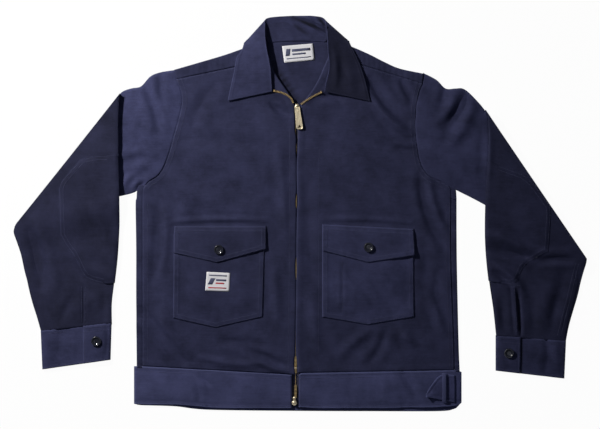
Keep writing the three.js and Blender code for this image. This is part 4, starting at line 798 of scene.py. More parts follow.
def sleeve_surface(side, along, rounds, offset):
    """Points of a sleeve's outer face at positions along its sections and round its tube."""
    table, folds, sign = SLEEVES[side]
    rows = at_rows(table, along)
    strip = table[table[:, 5] == 0]
    start, end = strip[3], strip[-1]
    first, line = table[1], table[9]
    line_long = math.hypot(line[2] - line[0], line[3] - line[1])
    out_x = (line[3] - line[1]) / line_long * sign
    out_y = -(line[2] - line[0]) / line_long * sign
    rounds = np.atleast_2d(rounds)
    share = np.abs(rounds)
    face = np.where(rounds < 0, -1.0, 1.0)
    span = rows[:, 2:4] - rows[:, 0:2]
    wide = np.hypot(span[:, 0:1], span[:, 1:2])
    bow = np.clip(rows[:, 4:5], 0, 1)
    seam = armhole_at(first, FRONTS[side], share)
    from_end = np.minimum(share, 1 - share) * wide
    swell = np.sqrt(np.clip(1 - (1 - np.clip(from_end / ROUNDED_END, 0, 1)) ** 2, 0, 1))
    half = (SLEEVE_HALF + offset) * swell
    endward = np.where(share < 0.5, -1, 1) * offset * (1 - swell) / wide
    x = rows[:, 0:1] + span[:, 0:1] * share
    x = x + bow * (seam[..., 0] - lerp(first[0], first[2], share) + sign * ARMHOLE_GAP)
    x = x + span[:, 0:1] * endward
    y = rows[:, 1:2] + span[:, 1:2] * share
    y = y + bow * (seam[..., 1] - lerp(first[1], first[3], share) + ARMHOLE_GAP)
    y = y + span[:, 1:2] * endward
    bulge = np.clip(rows[:, 6:7], 0, 1)
    crumple = SLEEVE_FOLD_GAIN * fold_rise(folds, x, y) + 1.3 * ripple(x, y, 4.0 * sign)
    raised = SLEEVE_PUFF * bulge * np.sin(math.pi * share) ** 0.8
    raised = raised + crumple * swell * np.minimum(1, 1.5 * bulge)
    raised = np.maximum(raised, 1.6 - 2 * half)
    turn = np.clip(rows[:, 5:6], 0, 1)
    t = np.clip((x - start[2]) / (end[2] - start[2]), 0, 1)
    inside = y - lerp(start[3], end[3], t)
    base = FOREARM_BASE * ease((inside + 62) / 60)
    edge_lift = FOREARM_EDGE_LIFT * np.exp(-share * 4) * ease(2 * turn - 1)
    shown = np.where(face < 0, turn < 0.5, turn >= 0.5)
    cap = ease((along - 0.35) / 0.9)[:, None]
    wrist = ease((len(table) - 1.25 - along) / 0.5)[:, None]
    low_z = lerp(2.6, SLEEVE_HALF - face * half + shown * raised, lerp(0.3, 1, cap))
    top_z = base + SLEEVE_HALF + edge_lift * wrist + face * half + shown * raised
    top_z = lerp(2.9, top_z, lerp(0.4, 1, wrist))
    angle = turn * math.pi
    radius = FOREARM_BASE / 2 + face * half + shown * face * raised
    over = (turn > 0) & (turn < 1)
    x = np.where(over, x + out_x * np.sin(angle) * radius, x)
    y = np.where(over, y + out_y * np.sin(angle) * radius, y)
    over_z = SLEEVE_HALF + FOREARM_BASE / 2 - np.cos(angle) * radius + edge_lift
    return grid_of(x, y, np.where(over, over_z, np.where(turn == 0, low_z, top_z)))


def sleeve_positions(table, step=3.0):
    """Positions along a sleeve, with even steps of turn over its fold."""
    fold = [i for i in range(len(table)) if 0 < table[i][5] < 1]
    first, last = fold[0] - 1, fold[-1] + 1
    all_places = positions(table, step, ((0, 1), (2, 3)))
    over = np.linspace(first, last, 25)
    return np.concatenate([all_places[all_places < first], over, all_places[all_places > last]])


def round_places(count=58):
    """Places round the tube, closer together at its two flattened edges."""
    shares = 0.5 - 0.5 * np.cos(np.linspace(0, math.pi, count + 1))
    return np.concatenate([shares, -shares[-2:0:-1]])


def sleeve_piece(side, usual_width=190):
    table = SLEEVES[side][0]
    along, rounds = sleeve_positions(table), round_places()
    outer = sleeve_surface(side, along, rounds, 0)
    inner = sleeve_surface(side, along, rounds, -CLOTH)
    SLEEVE_TOPS[side] = outer[outer[..., 2] > FOREARM_BASE]
    share = np.abs(rounds)[None, :]
    # Rubbing with a painted highlight along the flattened edges of the tube.
    from_edge = np.minimum(share, 1 - share) * usual_width
    wear_and_highlight = 0.15 * bell(from_edge, 3.0) * np.ones((len(along), 1))
    # Painted light above the fold and painted shade below it, with painted shade in the wrist's slit.
    above, below = PAINTED_LIGHT[f"sleeve_{side}"]
    painted_light = lerp(above, below, ease(at_rows(table, along)[:, 5]))[:, None]
    painted_light = painted_light * shaded(SLIT_SHADES, outer[..., 0], outer[..., 1])
    return wall(f"sleeve_{side}_twill", inner, outer, navy, closed=True, wear_and_highlight=wear_and_highlight, tone=painted_light)


for side in SIDES:
    cloth_piece(sleeve_piece(side), [f"sleeve_{side}"])


# Elbow patches lie on the sleeves, from round the inner edge to part way across the top.
def patch_grid(lines, rows=96):
    """Places along a sleeve and round it, on a grid with its lines down the patch."""
    last = len(lines) - 1
    cols = np.concatenate([np.linspace(0, 4, 25)[:-1], np.linspace(4, last, 56)])
    i = np.minimum(cols.astype(int), last - 1)
    across = lerp(lines[i], lines[i + 1], (cols - i)[:, None])
    t = np.linspace(0, 1, rows)[:, None]
    along = lerp(across[None, :, 0], across[None, :, 2], t)
    rounds = lerp(across[None, :, 1], across[None, :, 3], t)
    return along, np.where(np.abs(rounds) < 1e-4, 1e-4, rounds)


def patch_piece(side, corner=26):
    along, rounds = patch_grid(PATCHES[side])

    def surface(offset):
        flat = sleeve_surface(side, along.ravel(), rounds.reshape(-1, 1), offset)
        return flat.reshape(*along.shape, 3)

    low, high = surface(SEAM_GAP), surface(SEAM_GAP + CLOTH)
    edge = [tuple(p) for p in high[0, corner::5, :2]]
    edge += [tuple(p) for p in high[4::4, -1, :2]]
    edge += [tuple(p) for p in high[-1, :corner:-5, :2]]
    d, run = to_line(high[..., 0], high[..., 1], edge)
    high[..., 2] += 0.1 * ease(d / 4) * (1 - ease((d - 8) / 4)) - 1.3 * (1 - ease(d / 6))
    # Rubbing with a painted highlight along the patch's edge; the patch takes the painted shade of the
    # sleeve below its fold.
    wear_and_highlight = 0.13 * bell(d, 1.8) * (0.7 + 0.3 * np.sin(run / 9))
    PATCH_EDGES[side] = (edge, high)
    return wall(f"patch_{side}_twill", low, high, navy, wear_and_highlight=wear_and_highlight, tone=PAINTED_LIGHT[f"sleeve_{side}"][1])


for side, flat in (("left", (0.13, 0.24)), ("right", (0.13, 0.22))):
    cloth_piece(patch_piece(side), [f"elbow_patch_{side}"])


# Cuffs.
def cuff_section(shape):
    """Points round a cuff, as shares across it and heights, from its under end to its free end."""
    low = DOUBLE_CLOTH / 2
    over = CUFF_TOP + DOUBLE_CLOTH + SEAM_GAP + 0.2
    free = shape["free"]
    return np.array([
        (shape["under"], CUFF_TOP), (0.45, CUFF_TOP + 0.3), (0.2, CUFF_TOP + 0.3), (0.06, CUFF_TOP),
        (0.016, CUFF_TOP * 0.8), (0.004, CUFF_TOP * 0.55), (0.016, low + 0.7), (0.06, low),
        (0.35, low), (0.65, low), (0.94, low), (0.984, low + 0.8), (0.996, over / 2),
        (0.984, over - 1), (0.94, over), (lerp(0.94, free, 0.5), over + 0.3), (free, over),
    ])


CUFF_FOLDS = {
    "left": [
        (-340, -190, -341, -250, 3, -1.3, 4), (-420, -200, -426, -262, 0, -1.2, 7),
        (-396, -200, -398, -256, 0, 1.0, 7),
    ],
    "right": [
        (430, -218, 428, -280, 3, -1.8, 7), (352, -216, 352, -268, 0, 0.5, 7),
        (404, -240, 440, -262, 3, 1.4, 7), (446, -228, 452, -280, 0, 1.2, 6),
    ],
}


def cuff_surface(side, sections, levels):
    """The middle of a cuff's cloth at places round it and levels down it."""
    shape = CUFFS[side]
    points = at_rows(cuff_section(shape), sections)
    share, z = points[None, :, 0], points[None, :, 1]
    near, far = np.array(shape["near"], float), np.array(shape["far"], float)
    level = levels[:, None]
    x = lerp(lerp(far[0, 0], far[1, 0], level), lerp(near[0, 0], near[1, 0], level), share)
    y = lerp(lerp(far[0, 1], far[1, 1], level), lerp(near[0, 1], near[1, 1], level), share)
    puff = 0.9 * np.sin(math.pi * level) ** 0.7 + 0.25 * np.sin(x / 2.3) * np.exp(-level * 9)
    roll = -0.5 * bell((level - 0.12) * 9) - 0.4 * bell((level - 0.9) * 9)
    rise = puff + roll + fold_rise(CUFF_FOLDS[side], x, y) + 0.5 * ripple(x, y, 7)
    return grid_of(x, y, z + ease((z - 4) / 1.5) * rise)


def cuff_piece(side):
    sections = np.concatenate([np.linspace(0, 3, 40)[:-1], np.linspace(3, 16, 110)])
    middle = cuff_surface(side, sections, np.linspace(0, 1, 30))
    # Rubbing with a painted highlight on the cuff's edges; painted light on the cuff, with a painted
    # shadow beside the right cuff's free end.
    wear_and_highlight = np.zeros(middle.shape[:2])
    wear_and_highlight[:2], wear_and_highlight[-2:] = 0.14, 0.16
    wear_and_highlight[:, -2:] = 0.1
    painted_light = PAINTED_LIGHT[f"cuff_{side}"] * shaded(CUFF_SHADES, middle[..., 0], middle[..., 1])
    return sheet(f"cuff_{side}_twill", middle, DOUBLE_CLOTH, navy, wear_and_highlight, painted_light)


for side in SIDES:
    cloth_piece(cuff_piece(side), [f"cuff_{side}"])


# Collar: how low the middle of its cloth may lie in the stand behind the neck, and elsewhere.
STAND_LOW = 1.95
FALL_LOW = 0.65


def collar_surface(sections, acrosses):
    """The middle of the collar's cloth: 0 to 3 across its stand, 3 to 8 across its fall."""
    s = at_rows(COLLAR, sections)
    seam, roll, edge = s[:, 0:3], s[:, 3:6], s[:, 6:9]
    control = [lerp(seam, roll, t) for t in (0, 0.5, 0.86, 1)]
    for t in (0.08, 0.3, 0.55, 0.8, 1):
        point = lerp(roll, edge, t)
        point[:, 2] = lerp(roll[:, 2], edge[:, 2], t ** 0.8)
        control.append(point)
    control = np.stack(control)
    flat = at_rows(control.reshape(len(control), -1), acrosses).reshape(len(acrosses), len(s), 3)
    grid = flat.transpose(1, 0, 2)
    x, y = grid[..., 0], grid[..., 1]
    inner = ease((3.2 - acrosses) / 1.0)[None, :] * ease((y - 296) / 12)
    outer = ease((acrosses - 3.6) / 1.0)[None, :]
    rise = fold_rise(COLLAR_FOLDS, x, y)
    uneven = 0.8 * ripple(x, y, 3.0) + rise
    z = grid[..., 2] + rise * inner + outer * ease((305 - y) / 12) * uneven
    in_stand = (acrosses < 3)[None, :] & (y > 303)
    grid[..., 2] = np.maximum(z, np.where(in_stand, STAND_LOW, FALL_LOW))
    return grid


def collar_piece():
    sections = positions(COLLAR, 2.4, ((0, 1), (3, 4), (6, 7)))
    stand, roll = np.linspace(0, 3, 30)[:-1], np.linspace(3, 4, 12)[:-1]
    acrosses = np.concatenate([stand, roll, np.linspace(4, 8, 44)])
    middle = collar_surface(sections, acrosses)
    edges = (middle[:, -1:], middle[:1], middle[-1:])
    d = np.min([np.linalg.norm(middle - edge, axis=2) for edge in edges], axis=0)
    stitched = 0.3 * ease(d / 2) - 0.45 * bell(d - 5.5, 1.3)
    middle = middle + normals_of(middle) * stitched[..., None]
    # Rubbing with a painted highlight on the collar's edges, and a painted highlight along the roll line.
    wear_and_highlight = WORN_AND_LIT_EDGE * bell(d, 1.5) + 0.12 * bell(acrosses - 3, 0.5)[None, :]
    x, y = middle[..., 0], middle[..., 1]
    # Painted shade: the right part of the fall darker as it faces away from the light, the stand darker
    # inside the neck, and painted shade in the stand's creases.
    in_stand = ease((3.1 - acrosses) / 0.5)[None, :] * ease((y - 300) / 6)
    in_right = ease((acrosses - 2.8) / 0.5)[None, :] * ease((x - 20) / 30) * ease((338 - y) / 20)
    painted_light = lerp(PAINTED_LIGHT["collar_left"], PAINTED_LIGHT["collar_right"], in_right)
    painted_light = painted_light * shaded(STAND_SHADES, x, y) * lerp(1, 0.82, in_stand)
    return sheet("collar_twill", middle, CLOTH, navy, wear_and_highlight, painted_light)


cloth_piece(collar_piece(), ["collar"])


# Waistband.
def between_ends(x, row):
    """The height in the plan, at x, of the line between a table row's two ends."""
    return lerp(row[1], row[3], np.clip((x - row[0]) / (row[2] - row[0]), 0, 1))


def waist_seam(x, under):
    """Where the waistband is sewn on: the fronts' lowest row above, the back's below."""
    front = np.where(x < 0, between_ends(x, FRONT_LEFT[-1]), between_ends(x, FRONT_RIGHT[-1]))
    return lerp(front, between_ends(x, BACK_SIDES[0]), np.clip(under, 0, 1)) - SEAM_GAP


def band_relief(x, y, level):
    """How the front of the band swells between its two stitched edges."""
    folds = fold_rise(BAND_FOLDS, x, y)
    swell = 0.55 * np.sin(math.pi * level) ** 0.6 + folds + 0.6 * ripple(x, y, 5.0)
    beside_edges = np.exp(-level * 9) + np.exp(-(1 - level) * 9)
    pucker = 0.22 * np.sin(x / 2.1 + np.sin(x / 9)) * beside_edges
    groove = -0.45 * bell((level - 0.1) * 22) - 0.45 * bell((level - 0.9) * 22)
    return swell + pucker + groove


def waistband_piece():
    x, turn, drop, hem, height = at_rows(BAND, positions(BAND, 3.5, ((0, 3),))).T[:, None]
    level = np.linspace(0, 1, 40)[:, None]
    x = x + 0 * level
    under = np.clip(turn, 0, 1)
    y = lerp(waist_seam(x, under) - drop, hem, level)
    z = height + (1 - ease(under * 2)) * band_relief(x, y, level)
    # Rubbing with a painted highlight on the band's edges and a little over all of it; the band's colour
    # is scaled by its painted light.
    edges = bell((level - 0.02) * 40) + bell((level - 0.98) * 40)
    wear_and_highlight = WORN_AND_LIT_EDGE * edges + 0.08 + 0 * x
    tone = PAINTED_LIGHT["waistband"]
    return sheet("waistband_twill", grid_of(x, y, z), DOUBLE_CLOTH, navy, wear_and_highlight, tone)


def band_top(x, y):
    """The top of the front part of the waistband."""
    left = BAND[:9][::-1]
    right = BAND[21:][::-1]

    def on_band(column):
        on_left = np.interp(x, left[:, 0], left[:, column])
        return np.where(x < -9, on_left, np.interp(x, right[:, 0], right[:, column]))

    hem, z = on_band(3), on_band(4)
    seam = waist_seam(x, 0 * x)
    level = np.clip((y - seam) / (hem - seam), 0, 1)
    return z + band_relief(x, y, level) + DOUBLE_CLOTH / 2


cloth_piece(waistband_piece(), ["waistband"])


# Pockets, flaps and labels.
def pointed_low(shape, t, axis):
    """X or Y of a pointed shape's lower edge, at shares of its width."""
    low_left, low_right, point = shape[2:]
    share = (point[0] - low_left[0]) / (low_right[0] - low_left[0])
    on_left = lerp(low_left[axis], point[axis], t / share)
    return np.where(t <= share, on_left, lerp(point[axis], low_right[axis], (t - share) / (1 - share)))


def pointed_plan(shape, rows, cols):
    """A grid in the plan over a pointed shape, with its shares down and across."""
    t = np.linspace(0, 1, cols)[None, :]
    down = np.linspace(0, 1, rows)[:, None]
    x, y = (lerp(lerp(shape[0][k], shape[1][k], t), pointed_low(shape, t, k), down) for k in (0, 1))
    return x, y, down + 0 * x, t + 0 * x


def outline_of(shape, closed=True):
    top_left, top_right, low_left, low_right, point = shape
    line = [top_left, low_left, point, low_right, top_right]
    return line + [top_left] if closed else line


def inset(line, distance):
    """An open line moved to its left by a distance, with mitred corners."""
    kept = [line[0]]
    for point in line[1:]:
        if math.dist(point, kept[-1]) > 0.5:
            kept.append(point)
    line = np.array(kept, float)
    out = []
    for i in range(len(line)):
        before = line[i] - line[max(i - 1, 0)] if i else line[1] - line[0]
        after = line[min(i + 1, len(line) - 1)] - line[i] if i < len(line) - 1 else before
        before, after = before / np.hypot(*before), after / np.hypot(*after)
        a = np.array([-before[1], before[0]])
        b = np.array([-after[1], after[0]])
        mid = (a + b) / np.hypot(*(a + b))
        out.append(tuple(line[i] + mid * distance / max(mid @ a, 0.5)))
    return out


def pocket_top(side, x, y):
    d, run = to_line(x, y, outline_of(POCKETS[side], closed=False))
    relief = 0.4 * (1 - ease((d - 8) / 4)) * ease(d / 1.5) + 0.2 * np.sin(run / 1.9) * np.exp(-d / 8)
    belly = 1.1 * ease((d - 10) / 40)
    crease = fold_rise(POCKET_FOLDS[side], x, y)
    return front_top(x, y) + SEAM_GAP + CLOTH + relief + belly + crease + 0.5 * ripple(x, y, 6.0)


POCKET_FOLDS = {
    "left": [(-210, -100, -170, -170, 6, 0.6, 14), (-100, -90, -80, -160, 0, -0.6, 12)],
    "right": [
        (86, -105, 126, -156, 3, -1.3, 6), (96, -104, 136, -150, 3, 0.8, 7),
        (73, -90, 73, -172, 0, -0.8, 3),
    ],
}


def edge_wear_and_highlight(d, run, wave):
    """Rubbing with a painted highlight at a distance from an edge, and on the ridge beside its stitches.
    """
    return WORN_AND_LIT_EDGE * bell(d, 1.7) + 0.08 * bell(d - 7, 2) * (0.6 + 0.4 * np.sin(run / wave))


def pocket_piece(side):
    x, y, _, _ = pointed_plan(POCKETS[side], 84, 78)
    d, run = to_line(x, y, outline_of(POCKETS[side], closed=False))
    z = pocket_top(side, x, y) - 0.5 * (1 - ease(d / 1.2))
    lower = grid_of(x, y, np.minimum(z - 0.4, front_top(x, y) + 0.15))
    # Rubbing with a painted highlight on the edges and the stitched ridge; painted light on the pocket.
    name, wear_and_highlight = f"pocket_{side}", edge_wear_and_highlight(d, run, 2.7)
    return wall(f"{name}_twill", lower, grid_of(x, y, z), navy, wear_and_highlight=wear_and_highlight, tone=PAINTED_LIGHT[name])


def flap_under(side, x, y, down, across):
    """The height of a flap's lower side; its right corner stands off a little."""
    corner = 0.5 if side == "left" else 2.0
    stand = SEAM_GAP + (CLOTH + 0.9) * ease(down * 4) + 1.2 * down * down * across
    return front_top(x, y) + stand + corner * ease((down - 0.5) * 2) * ease((across - 0.6) * 2.5)


def flap_top(side, x, y, down, across):
    d, run = to_line(x, y, outline_of(FLAPS[side]))
    relief = 0.35 * (1 - ease((d - 7) / 4)) * ease(d / 1.5) + 0.16 * np.sin(run / 1.8) * np.exp(-d / 6)
    return flap_under(side, x, y, down, across) + DOUBLE_CLOTH + relief + 0.5 * ripple(x, y, 8.0)


def flap_piece(side):
    x, y, down, across = pointed_plan(FLAPS[side], 40, 90)
    d, run = to_line(x, y, outline_of(FLAPS[side]))
    z = flap_top(side, x, y, down, across) - 0.7 * (1 - ease(d / 1.3))
    lower = grid_of(x, y, flap_under(side, x, y, down, across))
    # Rubbing with a painted highlight on the edges and the stitched ridge; painted light on the flap.
    name, wear_and_highlight = f"flap_{side}", edge_wear_and_highlight(d, run, 2.3)
    return wall(f"{name}_twill", lower, grid_of(x, y, z), navy, wear_and_highlight=wear_and_highlight, tone=PAINTED_LIGHT[name])


def flap_height(side):
    """The height of a flap's top as a function of place, for what is sewn on it."""
    shape = FLAPS[side]

    def height(x, y):
        across = np.clip((x - shape[0][0]) / (shape[1][0] - shape[0][0]), 0, 1)
        top = lerp(shape[0][1], shape[1][1], across)
        low = pointed_low(shape, across, 1)
        down = np.clip((top - y) / (top - low), 0, 1)
        return flap_top(side, x, y, down, across)

    return height


for side in SIDES:
    pocket, flap = f"pocket_{side}", f"flap_{side}"
    cloth_piece(pocket_piece(side), [pocket])
    cloth_piece(flap_piece(side), [flap])


def strap_top(x, y):
    return band_top(x, y) + np.interp(x, STRAP[:, 0], STRAP[:, 3]) - 1.1 + DOUBLE_CLOTH


def strap_piece():
    rows = at_rows(STRAP, np.linspace(0, 4, 40))
    t = np.linspace(0, 1, 30)[None, :]
    x = rows[:, 0:1] + 0 * t
    y = lerp(rows[:, 1:2], rows[:, 2:3], t)
    edge = [tuple(r) for r in rows[:, :2]][::-1] + [tuple(r) for r in rows[:, [0, 2]]]
    d, run = to_line(x, y, edge)
    tip = (0.9 + 6.5 * ease((t - 0.45) / 0.5)) * np.exp(-((x - 219) / 13))
    z = strap_top(x, y) + tip + 0.15 * np.sin(run / 1.7) * np.exp(-d / 3)
    z = z - 0.45 * bell(d - 5, 1.4) - 0.5 * (1 - ease(d / 1.2))
    # Rubbing with a painted highlight on the strap's edges; the strap is painted much lighter for the
    # light on it.
    upper, wear_and_highlight = grid_of(x, y, z), WORN_AND_LIT_EDGE * bell(d, 1.5)
    return wall("side_strap_twill", upper - [0, 0, DOUBLE_CLOTH], upper, navy, wear_and_highlight=wear_and_highlight, tone=1.9)


def loop_piece():
    curve = at_rows(LOOP_PROFILE, np.linspace(0, 4, 36))
    x = np.linspace(*LOOP_SIDES, 8)[:, None]
    y = curve[None, :, 0] + 0 * x
    z = band_top(x, np.clip(y, -326, -284)) + curve[None, :, 1] + 1.5
    z = z + 0.4 * np.sin(math.pi * (x - LOOP_SIDES[0]) / (LOOP_SIDES[1] - LOOP_SIDES[0]))
    # The loop is painted lighter for the light on it, and paler still by rubbing with a painted highlight.
    return sheet("strap_loop_twill", grid_of(x, y, z), CLOTH, navy, np.full(y.shape, 0.25), 1.6)


cloth_piece(strap_piece(), ["side_strap"])
cloth_piece(loop_piece(), ["strap_loop"])


def flat_patch(name, corners, height, thickness, material, rows=12, cols=16, nodes=()):
    """A thin piece over four corners, given as left to right along the top and then the bottom."""
    tl, tr, bl, br = (np.array(c, float) for c in corners)
    u, v = np.meshgrid(np.linspace(0, 1, cols), np.linspace(0, 1, rows))
    plan = lerp(lerp(tl, tr, u[..., None]), lerp(bl, br, u[..., None]), v[..., None])
    x, y = plan[..., 0], plan[..., 1]
    upper = grid_of(x, y, height(x, y))
    obj = wall(name, upper - [0, 0, thickness], upper, material, wear_and_highlight=np.zeros(x.shape))
    return finish_piece(obj, "jacket", "label", *nodes)


def label_design(name, corners, height, marks):
    """A generic mark on a label: small plates given by shares across and down it, and a material."""
    tl, tr, bl, br = (np.array(c, float) for c in corners)

    def at(u, v):
        return lerp(lerp(tl, tr, u), lerp(bl, br, u), v)

    for i, (u0, v0, u1, v1, lean, material) in enumerate(marks):
        cut = [at(u0 + lean, v0), at(u1 + lean, v0), at(u0 - lean, v1), at(u1 - lean, v1)]
        piece = f"{name}_mark_{i}"
        obj = flat_patch(piece, cut, lambda x, y: height(x, y) + 0.12, 0.1, material, 4, 6)


NECK_LABEL = [(-32.6, 293.3), (21.7, 298), (-28.5, 264.4), (24.3, 269.2)]
POCKET_LABEL = [(-164, -102), (-123.2, -104), (-166.8, -134.9), (-124.8, -136.2)]
NECK_MARKS = [
    (0.1, 0.2, 0.24, 0.62, 0.03, print_mat), (0.3, 0.24, 0.9, 0.4, 0.0, print_mat),
    (0.3, 0.5, 0.74, 0.6, 0.0, print_mat), (0.1, 0.76, 0.9, 0.82, 0.0, print_mat),
]
POCKET_MARKS = [
    (0.12, 0.14, 0.88, 0.2, 0.0, print_mat), (0.14, 0.32, 0.34, 0.66, 0.06, print_mat),
    (0.42, 0.36, 0.86, 0.46, 0.0, print_mat), (0.42, 0.54, 0.78, 0.62, 0.0, red_mat),
    (0.12, 0.8, 0.88, 0.86, 0.0, red_mat),
]


def neck_height(x, y):
    return CLOTH + 1.6 + 0.5 * np.sin((x + 4) / 17) * np.sin((y - 265) / 9) + 0 * x


def on_pocket(x, y):
    return pocket_top("left", x, y) + 0.75


# Labels: corners, height, thickness, flat size, the piece beneath, marks.
LABELS = {
    "neck_label": (NECK_LABEL, neck_height, 0.6, (0.055, 0.03), "back_twill", NECK_MARKS),
    "pocket_label": (POCKET_LABEL, on_pocket, 0.5, (0.042, 0.033), "pocket_left_twill", POCKET_MARKS),
}
for name, (corners, height, thick, flat, beneath, _) in LABELS.items():
    label = flat_patch(f"{name}_woven", corners, height, thick, label_mat, nodes=[name])
for name, (corners, height, _, _, _, marks) in LABELS.items():
    label_design(f"{name}_woven", corners, height, marks)


# Zip.
def along_line(line, step):
    """Evenly spaced places along a line with their directions."""
    line = np.array(line, float)
    gaps = np.hypot(*np.diff(line, axis=0).T)
    ends = np.concatenate([[0], np.cumsum(gaps)])
    count = max(2, int(ends[-1] / step))
    s = (np.arange(count) + 0.5) * ends[-1] / count
    x, y = np.interp(s, ends, line[:, 0]), np.interp(s, ends, line[:, 1])
    i = np.minimum(np.searchsorted(ends, s) - 1, len(gaps) - 1)
    way = np.diff(line, axis=0)[i] / gaps[i][:, None]
    return x, y, way


BOX_CORNERS = np.array([
    (-1, -1, -1), (1, -1, -1), (1, 1, -1), (-1, 1, -1), (-1, -1, 1), (1, -1, 1), (1, 1, 1), (-1, 1, 1),
], float)
BOX_FACES = np.array([(3, 2, 1, 0), (4, 5, 6, 7), (0, 1, 5, 4), (1, 2, 6, 5), (2, 3, 7, 6), (3, 0, 4, 7)])


def many(centres, along, up, sizes, shape, faces):
    """Copies of a small shape at centres, each turned along a direction, as points and faces."""
    side = np.cross(up, along)
    side /= np.linalg.norm(side, axis=1, keepdims=True)
    points = (
        centres[:, None]
        + along[:, None] * (shape[None, :, 0:1] * sizes[0])
        + side[:, None] * (shape[None, :, 1:2] * sizes[1])
        + up[:, None] * (shape[None, :, 2:3] * sizes[2])
    )
    index = faces[None] + (np.arange(len(centres)) * len(shape))[:, None, None]
    return points.reshape(-1, 3), index.reshape(-1, faces.shape[1])


# A tooth is a box with a narrower top. Tooth sizes are length, width and height.
TOOTH = BOX_CORNERS.copy()
TOOTH[4:, 0] *= 0.72
TOOTH[4:, 1] *= 0.8
CHAIN_TOOTH = (1.5, 4.6, 2.6)
OPEN_TOOTH = (1.4, 3.6, 2.0)
TEETH_PITCH = 2.3


def teeth(name, line, height, size, node, share=None):
    """Zip teeth along a line; share narrows each one by its place."""
    x, y, way = along_line(line, TEETH_PITCH)
    centres = np.column_stack([x, y, height(x, y) + size[2] / 2])
    up = np.tile([0.0, 0, 1], (len(x), 1))
    direction = np.column_stack([way, np.zeros(len(x))])
    halves = [length / 2 for length in size]
    points, faces = many(centres, direction, up, halves, TOOTH, BOX_FACES)
    if share is not None:
        narrow = np.repeat(share(y), len(TOOTH))
        middle = np.repeat(x, len(TOOTH))
        points[:, 0] = middle + (points[:, 0] - middle) * narrow
    obj = new_mesh(name, points, faces, brass, smooth=False)
    finish_piece(obj, "jacket", "brass", node)


CHAIN_TOP = SLIDER_Y - SLIDER_LONG / 2 - SEAM_GAP
teeth(
    "zip_chain_teeth", [(CHAIN_X, HEM_Y + 8), (CHAIN_X, CHAIN_TOP)],
    lambda x, y: CHAIN_LOW + 0.9 * zip_shown(y), CHAIN_TOOTH, "zip_chain",
    lambda y: 0.3 + 0.7 * ease(zip_shown(y) / 1.6),
)
for side in SIDES:
    teeth(
        f"zip_{side}_teeth", TEETH[side], lambda x, y: front_top(x, y) + 0.2, OPEN_TOOTH,
        f"zip_teeth_{side}",
    )


TAPE_TOP, TAPE_THICK = 3.4, 1.0


def tape_piece(side, sign, half=6):
    x = CHAIN_X + sign * (CHAIN_WIDE / 2 + half + SEAM_GAP) + np.linspace(-half, half, 10)[None, :]
    y = np.linspace(HEM_Y, CHAIN_TOP, 160)[:, None]
    upper = grid_of(x, y, TAPE_TOP + 0.12 * np.sin(y / 3.3))
    obj = wall(f"tape_{side}_woven", upper - [0, 0, TAPE_THICK], upper, tape_mat)
    finish_piece(obj, "jacket", "zip_tape", f"zip_tape_{side}")


tape_piece("left", -1)
tape_piece("right", 1)


def lathe(name, profile, centre, material, segments=48, tilt=(0, 0)):
    """A turned shape from radii and heights, its height tilted by slopes along x and y."""
    a = np.linspace(0, 2 * math.pi, segments, endpoint=False)
    ring = np.stack([np.cos(a), np.sin(a)], -1)
    points = [np.column_stack([ring * r, np.full(segments, z)]) for r, z in profile]
    grid = np.stack(points).reshape(-1, 3)
    grid[:, 2] += grid[:, 0] * tilt[0] + grid[:, 1] * tilt[1]
    return new_mesh(name, grid + centre, grid_faces(len(profile), segments, closed=True), material)


def ball_profile(radius, steps=10, squash=1.0):
    a = np.linspace(-math.pi / 2 + 0.02, math.pi / 2 - 0.02, steps)
    return [(radius * math.cos(t), radius * squash * math.sin(t)) for t in a]


def bottom_stop():
    """Two flattened balls at the foot of the chain; the first takes the solid's place."""
    for i, (y, r, nodes) in enumerate([(-323, 3.0, ["zip_bottom_stop"]), (-331, 4.6, [])]):
        profile, centre = ball_profile(r, squash=0.6), (CHAIN_X - 2.2, y, 8.0)
        ball = lathe(f"bottom_stop_{i}", profile, centre, pale_brass, 24)
        finish_piece(ball, "jacket", "brass", *nodes)


bottom_stop()


def top_stop(side):
    (ax, ay), (bx, by) = TEETH[side][-2:]
    long = math.hypot(bx - ax, by - ay)
    way = np.array([[(bx - ax) / long, (by - ay) / long, 0.0]])
    centre = np.array([[bx + way[0, 0] * 2, by + way[0, 1] * 2, float(front_top(bx, by)) + 1.6]])
    points, faces = many(centre, way, np.array([[0.0, 0, 1]]), (1.6, 2, 1.4), TOOTH, BOX_FACES)
    obj = new_mesh(f"top_stop_{side}", points, faces, brass, smooth=False)
    finish_piece(obj, "jacket", "brass", f"zip_top_stop_{side}")


for side in SIDES:
    top_stop(side)


def turned(points, lift=0.0):
    """Points of the slider's own frame in the drawing's frame."""
    points = np.asarray(points, float)
    c, s = math.cos(PULL_TILT), math.sin(PULL_TILT)
    x = points[..., 0] * c - points[..., 1] * s + SLIDER_X
    y = points[..., 0] * s + points[..., 1] * c + SLIDER_Y
    return np.stack([x, y, points[..., 2] + SLIDER_Z + lift], -1)


